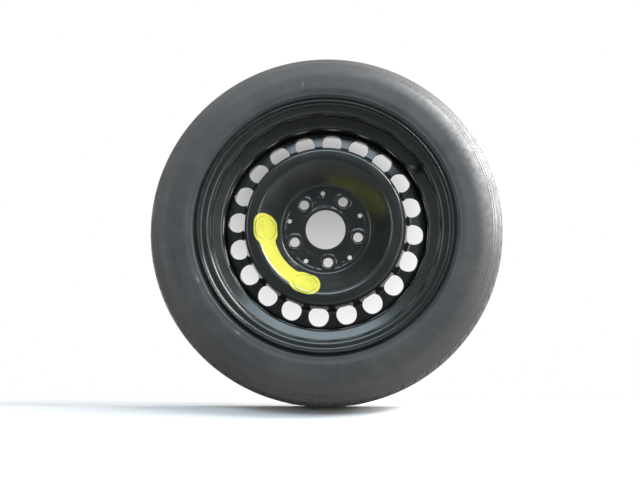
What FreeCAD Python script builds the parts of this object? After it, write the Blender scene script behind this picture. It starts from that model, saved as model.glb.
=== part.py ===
import FreeCAD, Part
import math
import os
import re
import Sketcher

# Temporary spare wheel: a narrow tyre on a welded steel wheel with a snap-in tyre valve.
# The wheel's axis is Y, its outer face looks along -Y, and Z is up. All sizes are millimetres.

SIZES = {
    # Rolled rim, measured on the side that meets the tyre.
    "rim_width": 101.6,
    "seat_radius": 190.1,
    "seat_drop": 1.7,
    "seat_width": 20.0,
    "flange_height": 17.3,
    "flange_lip": 11.2,
    "curl_bend": 9.5,
    "heel_bend": 6.5,
    "rim_sheet": 2.8,
    "well_radius": 171.5,
    "well_front": 23.8,
    "well_rear": 22.0,
    "ledge_bend": 3.4,
    "well_bend": 3.2,
    # Pressed disc, measured on its outer face.
    "disc_sheet": 3.6,
    "bore_radius": 33.3,
    "pad_radius": 75.0,
    "pad_bend": 7.0,
    "crown_inner": 111.0,
    "crown_outer": 131.0,
    "crown_height": 44.4,
    "crown_fall": 1.4,
    "dish_bend": 15.0,
    "crown_bend": 8.5,
    "trough_radius": 138.0,
    "trough_height": 13.0,
    "trough_bend": 6.0,
    "skirt_top": 6.5,
    "skirt_bend": 9.0,
    "skirt_end": 15.0,
    "skirt_gap": 0.1,
    "bolt_count": 5,
    "bolt_circle": 112.0,
    "bolt_phase": 58.2,
    "bolt_hole": 8.0,
    "bolt_seat": 11.0,
    "bolt_seat_angle": 30.0,
    "bolt_seat_depth": 2.6,
    "hole_margin": 4.2,
    "pin_hole_circle": 125.0,
    "pin_hole": 3.7,
    "vent_count": 20,
    "vent_phase": 13.6,
    "vent_top": 30.0,
    "vent_centre": 148.0,
    "vent_round": 16.6,
    "vent_inner": 130.5,
    "vent_corner": 9.0,
    # Fillet welds between the disc's skirt and the rim's well.
    "weld_count": 8,
    "weld_leg": 3.8,
    "weld_arc": 24.0,
    "weld_gap": 0.05,
    # Yellow film on the dish.
    "film_sheet": 0.25,
    "film_gap": 0.05,
    "film_inner": 79.5,
    "film_outer": 119.0,
    "film_band": 98.0,
    "film_band_width": 23.0,
    "film_lobe": 18.8,
    "film_lobe_length": 23.0,
    "film_start": 178.5,
    "film_end": 248.5,
    # Tyre. The sidewall's top and the notch floor lie below the tread, the sidewall's foot outside the flange.
    "tyre_radius": 292.5,
    "tyre_width": 128.0,
    "tread_width": 92.0,
    "crown_flat": 46.0,
    "shoulder_drop": 8.0,
    "shoulder_bend": 9.0,
    "sidewall_bend": 42.0,
    "foot_bend": 20.0,
    "bend_limit": 0.96,
    "toe_bend": 10.0,
    "crown_round": 80.0,
    "lining_round": 25.0,
    "bead_fill": 2.5,
    "sidewall_top": 30.5,
    "sidewall_foot": 10.6,
    "tread_thickness": 11.0,
    "sidewall_thickness": 7.0,
    "bead_width": 17.5,
    "bead_gap": 0.2,
    "groove_width": 5.0,
    "groove_depth": 4.0,
    "groove_spacing": 24.0,
    "notch_count": 80,
    "notch_width": 3.0,
    "notch_lean": 8.0,
    "notch_floor": 14.5,
    "notch_length": 14.0,
    # Snap-in valve, measured outwards along its stem from the rim's open face.
    "valve_angle": 32.7,
    "valve_shift": 0.9,
    "valve_hole": 5.65,
    "valve_gap": 0.1,
    "valve_chamfer": 1.5,
    "bulb_radius": 7.8,
    "bulb_height": 4.5,
    "bulb_chamfer": 0.75,
    "collar_radius": 7.2,
    "collar_rim": 3.0,
    "collar_height": 6.0,
    "sleeve_radius": 5.2,
    "sleeve_taper": 0.4,
    "sleeve_end": 20.0,
    "insert_radius": 3.2,
    "insert_foot": 4.0,
    "thread_radius": 3.85,
    "thread_start": 20.6,
    "stem_end": 31.0,
    "stem_chamfer": 0.5,
    "lower_bore": 2.0,
    "core_bore": 2.65,
    "core_seat": 16.0,
    # Valve core inside the stem.
    "core_gap": 0.06,
    "plug_start": 23.4,
    "plug_end": 28.6,
    "plug_flat": 1.9,
    "plug_flat_length": 1.6,
    "barrel_radius": 1.9,
    "barrel_wall": 0.45,
    "barrel_end": 12.0,
    "gasket_height": 2.4,
    "pin_radius": 0.45,
    "pin_head": 0.75,
    "collar_pin": 0.8,
    "collar_depth": 1.6,
    "pin_collar": 1.0,
    "pin_tail": 0.4,
    "pin_head_height": 0.8,
    "pin_end": 29.8,
    "pin_hole_gap": 0.2,
    "cup_height": 1.4,
    "cup_radius": 1.75,
    "cup_seal_height": 0.5,
    "spring_wire": 0.2,
    "spring_turns": 6,
    # Valve cap and the seal inside it.
    "cap_radius": 4.9,
    "cap_start": 22.0,
    "cap_end": 34.4,
    "cap_top": 1.9,
    "cap_edge": 0.8,
    "cap_rib_count": 18,
    "cap_rib": 0.45,
    "cap_seal_height": 1.3,
    "cap_seal_gap": 0.1,
}

doc = FreeCAD.newDocument("spare_wheel")
sheet = doc.addObject("Spreadsheet::Sheet", "Sizes")
for row, (alias, number) in enumerate(SIZES.items(), start=1):
    sheet.set("A%d" % row, alias)
    sheet.set("B%d" % row, str(number))
    sheet.setAlias("B%d" % row, alias)
doc.recompute()

ORIGIN = -1
START, END, CENTRE = 1, 2, 3


def size(expression):
    """Return the number that an expression of sheet cells stands for."""
    return float(sheet.evalExpression(expression))


def cell_name(word):
    """Return a word of an expression, with the sheet's name before it if it names a cell."""
    return "Sizes." + word if word in SIZES else word


def bound(obj, prop, expression):
    """Bind a property to an expression whose names are cells of the sheet."""
    words = re.sub("[a-z_]+", lambda name: cell_name(name.group()), expression)
    obj.setExpression(prop, words)


def new_body(label):
    """Make an empty body whose label names its file."""
    body = doc.addObject("PartDesign::Body", label)
    body.Label = label
    return body


def new_sketch(body, name, role):
    """Make a sketch on one of the body's own origin planes."""
    sketch = body.newObject("Sketcher::SketchObject", name)
    plane = [p for p in body.Origin.OriginFeatures if p.Role == role][0]
    sketch.AttachmentSupport = [(plane, "")]
    sketch.MapMode = "FlatFace"
    return sketch


def constrain(sketch, expression, *words):
    """Add a dimension to a sketch and bind it to the sheet."""
    index = sketch.addConstraint(Sketcher.Constraint(*words))
    bound(sketch, "Constraints[%d]" % index, expression)


def fix_point(sketch, geometry, end, place):
    """Hold a point of a sketch at the place that two expressions give."""
    across, along = place
    constrain(sketch, across, "DistanceX", ORIGIN, START, geometry, end, size(across))
    constrain(sketch, along, "DistanceY", ORIGIN, START, geometry, end, size(along))


def flat(point):
    """Return a sketch point as a vector."""
    return FreeCAD.Vector(point[0], point[1], 0)


def rounding(before, corner, after, radius):
    """Return an arc of a corner, and whether it runs from its end to its start."""
    to_before = (before - corner).normalize()
    to_after = (after - corner).normalize()
    half = to_before.getAngle(to_after) / 2
    reach = radius / math.tan(half)
    first = corner + to_before * reach
    last = corner + to_after * reach
    centre = corner + (to_before + to_after).normalize() * (radius / math.sin(half))
    backward = to_before.cross(to_after).z > 0
    low, high = (last, first) if backward else (first, last)
    angles = [math.atan2(p.y - centre.y, p.x - centre.x) for p in (low, high)]
    circle = Part.Circle(centre, FreeCAD.Vector(0, 0, 1), radius)
    return Part.ArcOfCircle(circle, angles[0], angles[1]), backward, first, last


class Chain:
    """A run of straight lines in a sketch, joined by tangent arcs."""

    def __init__(self, sketch, points, radii, construction=False):
        """Draw the lines and arcs through corners that are already worked out."""
        self.lines = []
        self.arcs = []
        starts = [points[0]]
        ends = []
        rounds = []
        for index, radius in enumerate(radii):
            arc, backward, first, last = rounding(*points[index:index + 3], radius)
            rounds.append((arc, backward))
            ends.append(first)
            starts.append(last)
        ends.append(points[-1])
        for first, last in zip(starts, ends):
            self.lines.append(sketch.addGeometry(Part.LineSegment(first, last), construction))
        for index, (arc, backward) in enumerate(rounds):
            number = sketch.addGeometry(arc, construction)
            near, far = (END, START) if backward else (START, END)
            self.arcs.append(number)
            sketch.addConstraint(Sketcher.Constraint("Tangent", self.lines[index], END, number, near))
            sketch.addConstraint(Sketcher.Constraint("Tangent", number, far, self.lines[index + 1], START))


def driven_chain(sketch, start, corners, end, construction=False):
    """Draw a chain whose ends, sharp corners and bend radii are bound to the sheet."""
    places = [start] + [corner[:2] for corner in corners] + [end]
    points = [flat([size(word) for word in place]) for place in places]
    radii = [size(corner[2]) for corner in corners]
    chain = Chain(sketch, points, radii, construction)
    for index, corner in enumerate(corners):
        mark = sketch.addGeometry(Part.Point(points[index + 1]), True)
        fix_point(sketch, mark, START, corner[:2])
        for line in chain.lines[index:index + 2]:
            sketch.addConstraint(Sketcher.Constraint("PointOnObject", mark, START, line))
        constrain(sketch, corner[2], "Radius", chain.arcs[index], radii[index])
    fix_point(sketch, chain.lines[0], START, start)
    fix_point(sketch, chain.lines[-1], END, end)
    chain.points = points
    chain.radii = radii
    return chain


def offset_chain(sketch, chain, distance):
    """Draw a chain beside another one, parallel to its lines and concentric with its arcs.

    A positive distance lies to the left of the way that the chain runs."""
    gap = size(distance)
    points = chain.points
    ways = [(after - before).normalize() for before, after in zip(points, points[1:])]
    lefts = [FreeCAD.Vector(-way.y, way.x, 0) for way in ways]
    moved = [points[0] + lefts[0] * gap]
    radii = []
    for index, radius in enumerate(chain.radii):
        both = lefts[index] + lefts[index + 1]
        moved.append(points[index + 1] + both * (gap / (1 + lefts[index].dot(lefts[index + 1]))))
        turn = 1 if ways[index].cross(ways[index + 1]).z > 0 else -1
        radii.append(radius - turn * gap)
    moved.append(points[-1] + lefts[-1] * gap)
    beside = Chain(sketch, moved, radii)
    for line, other in zip(chain.lines, beside.lines):
        sketch.addConstraint(Sketcher.Constraint("Parallel", line, other))
    for arc, other in zip(chain.arcs, beside.arcs):
        sketch.addConstraint(Sketcher.Constraint("Coincident", arc, CENTRE, other, CENTRE))
    positive = distance if gap > 0 else "-(%s)" % distance
    words = ("Distance", beside.lines[0], START, chain.lines[0], abs(gap))
    constrain(sketch, positive, *words)
    for line, other, end in ((chain.lines[0], beside.lines[0], START),
                             (chain.lines[-1], beside.lines[-1], END)):
        cap = sketch.addGeometry(Part.LineSegment(point_of(sketch, line, end),
                                                  point_of(sketch, other, end)), True)
        sketch.addConstraint(Sketcher.Constraint("Coincident", cap, START, line, end))
        sketch.addConstraint(Sketcher.Constraint("Coincident", cap, END, other, end))
        sketch.addConstraint(Sketcher.Constraint("Perpendicular", cap, line))
    return beside


def point_of(sketch, geometry, end):
    """Return the place of one end of a line in a sketch."""
    return sketch.getPoint(geometry, end)


def join_ends(sketch, first, second):
    """Close the outline between two chains that run side by side."""
    for line, other, end in ((first.lines[0], second.lines[0], START),
                             (first.lines[-1], second.lines[-1], END)):
        edge = sketch.addGeometry(Part.LineSegment(point_of(sketch, line, end),
                                                   point_of(sketch, other, end)))
        sketch.addConstraint(Sketcher.Constraint("Coincident", edge, START, line, end))
        sketch.addConstraint(Sketcher.Constraint("Coincident", edge, END, other, end))


def sharp_outline(sketch, places):
    """Draw a closed outline of straight lines through places bound to the sheet."""
    points = [flat([size(word) for word in place]) for place in places]
    lines = []
    for first, last in zip(points, points[1:] + points[:1]):
        lines.append(sketch.addGeometry(Part.LineSegment(first, last)))
    for line, after in zip(lines, lines[1:] + lines[:1]):
        sketch.addConstraint(Sketcher.Constraint("Coincident", line, END, after, START))
    for line, place in zip(lines, places):
        fix_point(sketch, line, START, place)


def add_circle(sketch, place, radius):
    """Draw a circle whose centre and radius are bound to the sheet."""
    centre = flat([size(word) for word in place])
    circle = Part.Circle(centre, FreeCAD.Vector(0, 0, 1), size(radius))
    number = sketch.addGeometry(circle)
    fix_point(sketch, number, CENTRE, place)
    constrain(sketch, radius, "Radius", number, size(radius))


def revolve(body, sketch, name, kind="PartDesign::Revolution"):
    """Turn a sketch once round its own vertical axis."""
    feature = body.newObject(kind, name)
    feature.Profile = sketch
    feature.ReferenceAxis = (sketch, ["V_Axis"])
    feature.Angle = 360
    return feature


def pocket(body, sketch, name, length):
    """Cut a sketch to both sides of its plane."""
    feature = body.newObject("PartDesign::Pocket", name)
    feature.Profile = sketch
    feature.Midplane = True
    bound(feature, "Length", length)
    return feature


def pattern(body, features, axis, name, count):
    """Repeat features evenly round an axis and make them the body's last step."""
    feature = body.newObject("PartDesign::PolarPattern", name)
    feature.Originals = features
    feature.Axis = axis
    feature.Angle = 360
    bound(feature, "Occurrences", count)
    body.Tip = feature
    return feature


def turned_sketch(body, name, phase, forward="0"):
    """Make a sketch that faces the wheel's outer side, turned about the axis and moved forward."""
    sketch = new_sketch(body, name, "XZ_Plane")
    sketch.AttachmentOffset = FreeCAD.Placement(
        FreeCAD.Vector(0, 0, size(forward)), FreeCAD.Rotation(FreeCAD.Vector(0, 0, 1), size(phase)))
    bound(sketch, "AttachmentOffset.Rotation.Angle", phase)
    bound(sketch, "AttachmentOffset.Base.z", forward)
    return sketch


def sheet_profile(body, name, start, corners, end, thickness):
    """Draw the closed section of a bent sheet, from the line of one of its faces."""
    sketch = new_sketch(body, name, "XY_Plane")
    face = driven_chain(sketch, start, corners, end)
    back = offset_chain(sketch, face, thickness)
    join_ends(sketch, face, back)
    return sketch


# Places that several pieces share, as expressions of the sheet.
HALF_RIM = "rim_width / 2"
LEDGE_RADIUS = "seat_radius - seat_drop"
LEDGE_AT = "(rim_width / 2 - seat_width)"
FLANGE_RADIUS = "seat_radius + flange_height"
SKIRT_RADIUS = "well_radius - rim_sheet - skirt_gap"
WALL_RISE = "(crown_height - disc_sheet) / (crown_inner - pad_radius)"
STEM_HOLE = "insert_radius + valve_gap"
CUP_TOP = "barrel_end - 2 * core_gap - cup_seal_height"


def valve_place():
    """Return the place of the valve: on the front wall of the rim's well, square to that wall."""
    fall = size(LEDGE_RADIUS) - size("well_radius")
    run = size(LEDGE_AT) - size("well_front")
    lean = math.atan2(run, fall)
    down = size("valve_shift")
    out = size("rim_sheet")
    radius = (size(LEDGE_RADIUS) + size("well_radius")) / 2
    radius -= down * math.cos(lean) + out * math.sin(lean)
    along = -(size(LEDGE_AT) + size("well_front")) / 2
    along += down * math.sin(lean) - out * math.cos(lean)
    about = FreeCAD.Rotation(FreeCAD.Vector(0, 1, 0), -size("valve_angle"))
    turn = FreeCAD.Placement(FreeCAD.Vector(), about)
    way = FreeCAD.Vector(-math.sin(lean), -math.cos(lean), 0)
    seat = FreeCAD.Placement(FreeCAD.Vector(radius, along, 0),
                             FreeCAD.Rotation(FreeCAD.Vector(0, 0, 1), way))
    return turn * seat


def make_rim():
    """Roll the rim: two flanges, two bead seats and a well, with the valve hole in the well's wall."""
    body = new_body("rim")
    front = [(FLANGE_RADIUS, "-" + HALF_RIM, "curl_bend"),
             ("seat_radius", "-" + HALF_RIM, "heel_bend"),
             (LEDGE_RADIUS, "-" + LEDGE_AT, "ledge_bend"),
             ("well_radius", "-well_front", "well_bend")]
    rear = [("well_radius", "well_rear", "well_bend"),
            (LEDGE_RADIUS, LEDGE_AT, "ledge_bend"),
            ("seat_radius", HALF_RIM, "heel_bend"),
            (FLANGE_RADIUS, HALF_RIM, "curl_bend")]
    start = (FLANGE_RADIUS, "-(rim_width / 2 + flange_lip)")
    end = (FLANGE_RADIUS, "rim_width / 2 + flange_lip")
    section = sheet_profile(body, "rim_section", start, front + rear, end, "rim_sheet")
    revolve(body, section, "rim_roll")
    doc.recompute()
    hole = body.newObject("PartDesign::SubtractiveCylinder", "rim_valve_hole")
    bound(hole, "Radius", "valve_hole")
    bound(hole, "Height", "rim_sheet + 2 * hole_margin")
    drop = FreeCAD.Placement(FreeCAD.Vector(0, 0, -size("rim_sheet + hole_margin")), FreeCAD.Rotation())
    hole.Placement = valve_place() * drop
    return body


def make_disc():
    """Press the disc: pad, dish, crown, vent trough and skirt, then punch its holes."""
    body = new_body("disc")
    corners = [("pad_radius", "-disc_sheet", "pad_bend"),
               ("crown_inner", "-crown_height", "dish_bend"),
               ("crown_outer", "-(crown_height - crown_fall)", "crown_bend"),
               ("trough_radius", "-trough_height", "trough_bend"),
               (SKIRT_RADIUS, "-skirt_top", "skirt_bend")]
    section = sheet_profile(body, "disc_section", ("bore_radius", "-disc_sheet"), corners,
                            (SKIRT_RADIUS, "skirt_end"), "disc_sheet")
    revolve(body, section, "disc_press")

    outline = turned_sketch(body, "vent_outline", "vent_phase", "vent_top")
    sides = driven_chain(outline, ("vent_centre", "vent_round"),
                         [("vent_inner", "vent_round", "vent_corner"),
                          ("vent_inner", "-vent_round", "vent_corner")],
                         ("vent_centre", "-vent_round"))
    circle = Part.Circle(flat((size("vent_centre"), 0)), FreeCAD.Vector(0, 0, 1), size("vent_round"))
    arc = outline.addGeometry(Part.ArcOfCircle(circle, -math.pi / 2, math.pi / 2))
    outline.addConstraint(Sketcher.Constraint("Coincident", arc, START, sides.lines[-1], END))
    outline.addConstraint(Sketcher.Constraint("Coincident", arc, END, sides.lines[0], START))
    constrain(outline, "vent_centre", "DistanceX", ORIGIN, START, arc, CENTRE, size("vent_centre"))
    vent = body.newObject("PartDesign::Pocket", "vent")
    vent.Profile = outline
    bound(vent, "Length", "vent_top + skirt_end")

    bolt = turned_sketch(body, "bolt_outline", "bolt_phase")
    add_circle(bolt, ("bolt_circle / 2", "0"), "bolt_hole")
    bolt_cut = pocket(body, bolt, "bolt_cut", "2 * (disc_sheet + hole_margin)")
    seat = turned_sketch(body, "seat_outline", "bolt_phase", "disc_sheet")
    add_circle(seat, ("bolt_circle / 2", "0"), "bolt_seat")
    seat_cut = body.newObject("PartDesign::Pocket", "seat_cut")
    seat_cut.Profile = seat
    bound(seat_cut, "TaperAngle", "-bolt_seat_angle")
    bound(seat_cut, "Length", "bolt_seat_depth")
    small = turned_sketch(body, "pin_outline", "bolt_phase - 180 / bolt_count")
    add_circle(small, ("pin_hole_circle / 2", "0"), "pin_hole")
    small_cut = pocket(body, small, "pin_cut", "2 * (disc_sheet + hole_margin)")
    doc.recompute()
    pattern(body, [vent], (outline, ["N_Axis"]), "vents", "vent_count")
    pattern(body, [bolt_cut, seat_cut, small_cut], (bolt, ["N_Axis"]), "bolt_holes", "bolt_count")
    return body


def make_welds():
    """Lay the fillet welds at the end of the disc's skirt."""
    body = new_body("disc_welds")
    body.AllowCompound = True
    section = new_sketch(body, "weld_section", "XY_Plane")
    outer = SKIRT_RADIUS + " + skirt_gap - weld_gap"
    foot = "skirt_end + weld_gap"
    sharp_outline(section, [(outer, foot), (outer, foot + " + weld_leg"), (outer + " - weld_leg", foot)])
    bead = revolve(body, section, "weld_bead")
    bound(bead, "Angle", "weld_arc")
    doc.recompute()
    pattern(body, [bead], (section, ["V_Axis"]), "weld_beads", "weld_count")
    return body


def make_film():
    """Lay the yellow film on the dish: two rounded ends and the band between them."""
    strip = new_body("film_strip")
    section = new_sketch(strip, "film_section", "XY_Plane")
    inner_at = "-disc_sheet - (film_inner - pad_radius) * " + WALL_RISE
    outer_at = "-crown_height + crown_fall * (film_outer - crown_inner) / (crown_outer - crown_inner)"
    dish = driven_chain(section, ("film_inner", inner_at), [("crown_inner", "-crown_height", "dish_bend")],
                        ("film_outer", outer_at), construction=True)
    under = offset_chain(section, dish, "-film_gap")
    over = offset_chain(section, dish, "-film_gap - film_sheet")
    join_ends(section, under, over)
    revolve(strip, section, "film_roll")

    shapes = []
    for name, phase in (("film_near_end", "film_start"), ("film_far_end", "film_end")):
        end = new_body(name)
        outline = turned_sketch(end, name + "_outline", phase)
        low = "film_inner - film_sheet"
        high = "film_outer + film_sheet"
        driven_chain(outline, (low, "0"),
                     [(low, "-film_lobe_length", "film_lobe"), (high, "-film_lobe_length", "film_lobe"),
                      (high, "film_lobe_length", "film_lobe"), (low, "film_lobe_length", "film_lobe")],
                     (low, "0"))
        pad = end.newObject("PartDesign::Pad", name + "_pad")
        pad.Profile = outline
        bound(pad, "Length", "crown_height + hole_margin")
        shapes.append(end)
    band = new_body("film_band_ring")
    ring = new_sketch(band, "film_band_section", "XY_Plane")
    low = "film_band - film_band_width / 2"
    high = "film_band + film_band_width / 2"
    top = "-(crown_height + hole_margin)"
    sharp_outline(ring, [(low, top), (high, top), (high, "0"), (low, "0")])
    sweep = revolve(band, ring, "film_band_sweep")
    sweep.Reversed = True
    bound(sweep, "Angle", "film_end - film_start")
    band.Placement = FreeCAD.Placement(
        FreeCAD.Vector(), FreeCAD.Rotation(FreeCAD.Vector(0, 1, 0), -size("film_start")))
    shapes.append(band)
    outline = doc.addObject("Part::MultiFuse", "film_outline")
    outline.Shapes = shapes
    film = doc.addObject("Part::Common", "yellow_film")
    film.Base = strip
    film.Tool = outline
    film.Label = "yellow_film"
    return film


def make_tyre():
    """Mould the tyre: beads, sidewalls and tread, then its grooves and shoulder notches."""
    body = new_body("tyre")
    section = new_sketch(body, "tyre_section", "XY_Plane")
    toe = "seat_radius - seat_drop * bead_width / seat_width + bead_gap"
    toe_at = "(rim_width / 2 - bead_width)"
    wall_at = "(rim_width / 2 - bead_gap)"
    side_at = "(tyre_width / 2)"
    inner_at = "(tyre_width / 2 - sidewall_thickness)"
    foot = FLANGE_RADIUS + " + sidewall_foot"
    top = "tyre_radius - sidewall_top"
    wall = "(%s - (%s))" % (top, foot)
    side_round = "min(sidewall_bend; bend_limit * %s)" % wall
    foot_round = "min(foot_bend; bend_limit / 2 * %s)" % wall
    outside = [("seat_radius + bead_gap", wall_at, "heel_bend - bead_gap"),
               (FLANGE_RADIUS + " + bead_gap", wall_at, "curl_bend - bead_gap"),
               (foot, side_at, foot_round),
               (top, side_at, side_round),
               ("tyre_radius - shoulder_drop", "(tread_width / 2)", "shoulder_bend"),
               ("tyre_radius", "(crown_flat / 2)", "crown_round")]
    inside = [(FLANGE_RADIUS + " - bead_gap", toe_at, "toe_bend"),
              (foot + " + bead_fill", inner_at, foot_round),
              (top + " - bead_fill", inner_at, side_round + " - sidewall_thickness"),
              ("tyre_radius - shoulder_drop - tread_thickness", "(tread_width / 2 - sidewall_thickness)",
               "shoulder_bend"),
              ("tyre_radius - tread_thickness", "(crown_flat / 2)", "lining_round")]
    chains = []
    for corners, foot in ((outside, (toe, toe_at)), (inside, (toe + " + bead_fill", toe_at))):
        near = [(radius, "-" + along, bend) for radius, along, bend in corners]
        chains.append(driven_chain(section, (foot[0], "-" + foot[1]), near + corners[::-1], foot))
    join_ends(section, *chains)
    revolve(body, section, "tyre_mould")

    grooves = new_sketch(body, "groove_section", "XY_Plane")
    for place in ("-groove_spacing", "0", "groove_spacing"):
        low = place + " - groove_width / 2"
        high = place + " + groove_width / 2"
        floor = "tyre_radius - groove_depth"
        above = "tyre_radius + groove_depth"
        sharp_outline(grooves, [(floor, low), (above, low), (above, high), (floor, high)])
    revolve(body, grooves, "tread_grooves", "PartDesign::Groove")

    notches = []
    for name, side, lean in (("front_notch", 1, "notch_lean"), ("rear_notch", -1, "-notch_lean")):
        forward = "%d * (tread_width / 2 - notch_length)" % side
        outline = turned_sketch(body, name + "_outline", "180 / notch_count", forward)
        above = "tyre_radius + groove_depth"
        floor = "tyre_radius - notch_floor"
        sharp_outline(outline, [(floor, "-notch_width / 2"), (above, lean + " - notch_width / 2"),
                                (above, lean + " + notch_width / 2"), (floor, "notch_width / 2")])
        notch = body.newObject("PartDesign::Pocket", name)
        notch.Profile = outline
        notch.Reversed = side > 0
        bound(notch, "Length", "2 * notch_length")
        notches.append(notch)
    doc.recompute()
    pattern(body, notches, (section, ["V_Axis"]), "tread_notches", "notch_count")
    return body


def turned_piece(label, places):
    """Turn a piece of the valve from a half section: radius, then place along the stem."""
    body = new_body(label)
    section = new_sketch(body, label + "_section", "XZ_Plane")
    sharp_outline(section, places)
    revolve(body, section, label + "_turn")
    body.Placement = valve_place()
    return body


def tube(label, inner, outer, low, high):
    """Turn a plain ring or tube of the valve."""
    return turned_piece(label, [(inner, low), (outer, low), (outer, high), (inner, high)])


def make_valve_rubber():
    """Mould the rubber body that snaps into the rim's hole, with a bulb inside and a sleeve outside."""
    bulb = "-(rim_sheet + bulb_height)"
    inside = "-(rim_sheet + valve_gap)"
    neck = "valve_hole - valve_gap"
    return turned_piece("valve_rubber", [
        (STEM_HOLE, bulb), ("bulb_radius - valve_chamfer", bulb), ("bulb_radius", bulb + " + valve_chamfer"),
        ("bulb_radius", inside + " - bulb_chamfer"), ("bulb_radius - bulb_chamfer", inside),
        (neck, inside), (neck, "valve_gap"), ("collar_radius", "valve_gap"), ("collar_radius", "collar_rim"),
        ("sleeve_radius", "collar_height + valve_chamfer"), ("sleeve_radius - sleeve_taper", "sleeve_end"),
        (STEM_HOLE, "sleeve_end")])


def make_valve_insert():
    """Turn the brass tube of the stem, with its outer thread land and the bore for the core."""
    return turned_piece("valve_insert", [
        ("lower_bore", "-insert_foot"), ("insert_radius", "-insert_foot"), ("insert_radius", "sleeve_end"),
        ("thread_radius", "thread_start"), ("thread_radius", "stem_end - stem_chamfer"),
        ("thread_radius - stem_chamfer", "stem_end"), ("core_bore", "stem_end"), ("core_bore", "core_seat"),
        ("lower_bore", "core_seat - (core_bore - lower_bore)")])


def make_core_plug():
    """Turn the core's plug and cut the two flats that its key turns."""
    body = tube("core_plug", "pin_head + pin_hole_gap", "core_bore - core_gap", "plug_start", "plug_end")
    flats = new_sketch(body, "plug_flats", "XY_Plane")
    flats.AttachmentOffset = FreeCAD.Placement(FreeCAD.Vector(0, 0, size("plug_end")), FreeCAD.Rotation())
    bound(flats, "AttachmentOffset.Base.z", "plug_end")
    for side in ("", "-"):
        near = side + "plug_flat"
        far = side + "thread_radius"
        sharp_outline(flats, [(near, "-thread_radius"), (far, "-thread_radius"),
                              (far, "thread_radius"), (near, "thread_radius")])
    cut = body.newObject("PartDesign::Pocket", "plug_flat_cut")
    cut.Profile = flats
    bound(cut, "Length", "plug_flat_length")
    return body


def make_core_pin():
    """Turn the core's pin, with its button at the mouth and the collar that the spring lifts."""
    foot = CUP_TOP + " - cup_height - pin_tail"
    collar = "plug_start - collar_depth"
    return turned_piece("core_pin", [
        ("0", foot), ("pin_radius", foot), ("pin_radius", collar), ("pin_collar", collar),
        ("pin_collar", collar + " + collar_pin"), ("pin_radius", collar + " + collar_pin"),
        ("pin_radius", "pin_end - pin_head_height"), ("pin_head", "pin_end - pin_head_height"),
        ("pin_head", "pin_end"), ("0", "pin_end")])


def make_core_barrel():
    """Turn the core's barrel, with a ledge at its foot that the spring stands on."""
    inner = "barrel_radius - barrel_wall"
    return turned_piece("core_barrel", [
        ("pin_radius + pin_hole_gap", "barrel_end"), ("barrel_radius", "barrel_end"),
        ("barrel_radius", "plug_start - core_gap"), (inner, "plug_start - core_gap"),
        (inner, "barrel_end + barrel_wall"), ("pin_radius + pin_hole_gap", "barrel_end + barrel_wall")])


def make_core_spring():
    """Wind the core's spring between the barrel's ledge and the pin's collar."""
    body = new_body("core_spring")
    wire = new_sketch(body, "spring_wire_section", "XZ_Plane")
    low = "barrel_end + barrel_wall + spring_wire + core_gap"
    high = "plug_start - collar_depth - spring_wire - core_gap"
    radius = "(pin_radius + barrel_radius - barrel_wall) / 2"
    add_circle(wire, (radius, low), "spring_wire")
    coil = body.newObject("PartDesign::AdditiveHelix", "spring_coil")
    coil.Profile = wire
    coil.ReferenceAxis = (wire, ["V_Axis"])
    coil.Mode = "height-turns-angle"
    bound(coil, "Height", "(%s) - (%s)" % (high, low))
    bound(coil, "Turns", "spring_turns")
    body.Placement = valve_place()
    return body


def make_valve_cap():
    """Mould the valve cap, open at its foot, with grip flutes round it."""
    inner = "thread_radius + valve_gap"
    body = turned_piece("valve_cap", [
        (inner, "cap_start"), ("cap_radius", "cap_start"), ("cap_radius", "cap_end - cap_edge"),
        ("cap_radius - cap_edge", "cap_end"), ("0", "cap_end"), ("0", "cap_end - cap_top"),
        (inner, "cap_end - cap_top")])
    flute = new_sketch(body, "cap_flute_outline", "XY_Plane")
    add_circle(flute, ("cap_radius", "0"), "cap_rib")
    cut = body.newObject("PartDesign::Pocket", "cap_flute")
    cut.Profile = flute
    cut.Reversed = True
    bound(cut, "Length", "cap_end - cap_top - cap_edge")
    doc.recompute()
    pattern(body, [cut], (flute, ["N_Axis"]), "cap_flutes", "cap_rib_count")
    return body


pieces = [
    make_tyre(),
    make_rim(),
    make_disc(),
    make_welds(),
    make_film(),
    make_valve_rubber(),
    make_valve_insert(),
    make_core_plug(),
    make_core_barrel(),
    tube("core_gasket", "barrel_radius + core_gap", "core_bore - core_gap", "core_seat + core_gap",
         "core_seat + core_gap + gasket_height"),
    make_core_pin(),
    make_core_spring(),
    tube("core_cup", "pin_radius + core_gap", "cup_radius", CUP_TOP + " - cup_height", CUP_TOP),
    tube("core_cup_seal", "pin_radius + core_gap", "cup_radius - core_gap", CUP_TOP + " + core_gap",
         "barrel_end - core_gap"),
    make_valve_cap(),
    tube("cap_seal", "0", "thread_radius", "stem_end + cap_seal_gap",
         "stem_end + cap_seal_gap + cap_seal_height"),
]

doc.recompute()
for item in doc.Objects:
    if "Invalid" in item.State or "Error" in item.State:
        raise RuntimeError("%s failed: %s" % (item.Name, item.State))
for piece in pieces:
    if piece.Shape.isNull() or not piece.Shape.isValid():
        raise RuntimeError("%s has no valid shape" % piece.Label)

os.makedirs("parts", exist_ok=True)
for piece in pieces:
    piece.Shape.exportStep("parts/%s.step" % piece.Label)
    print("%-14s %2d solids %12.2f mm3" % (piece.Label, len(piece.Shape.Solids), piece.Shape.Volume))
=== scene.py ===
"""A narrow temporary spare wheel, dressed for rendering.

The axle is the Y axis, the outer side of the wheel faces -Y and Z is up. Shapes are worked out in
millimetres and written to the meshes in metres. An angle round the axle is counted from +X towards +Z,
which is counter-clockwise as seen from the outer side.
"""

import logging
import math
from dataclasses import dataclass, field
from enum import Enum
from typing import Any, Callable, Optional, Sequence

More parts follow.
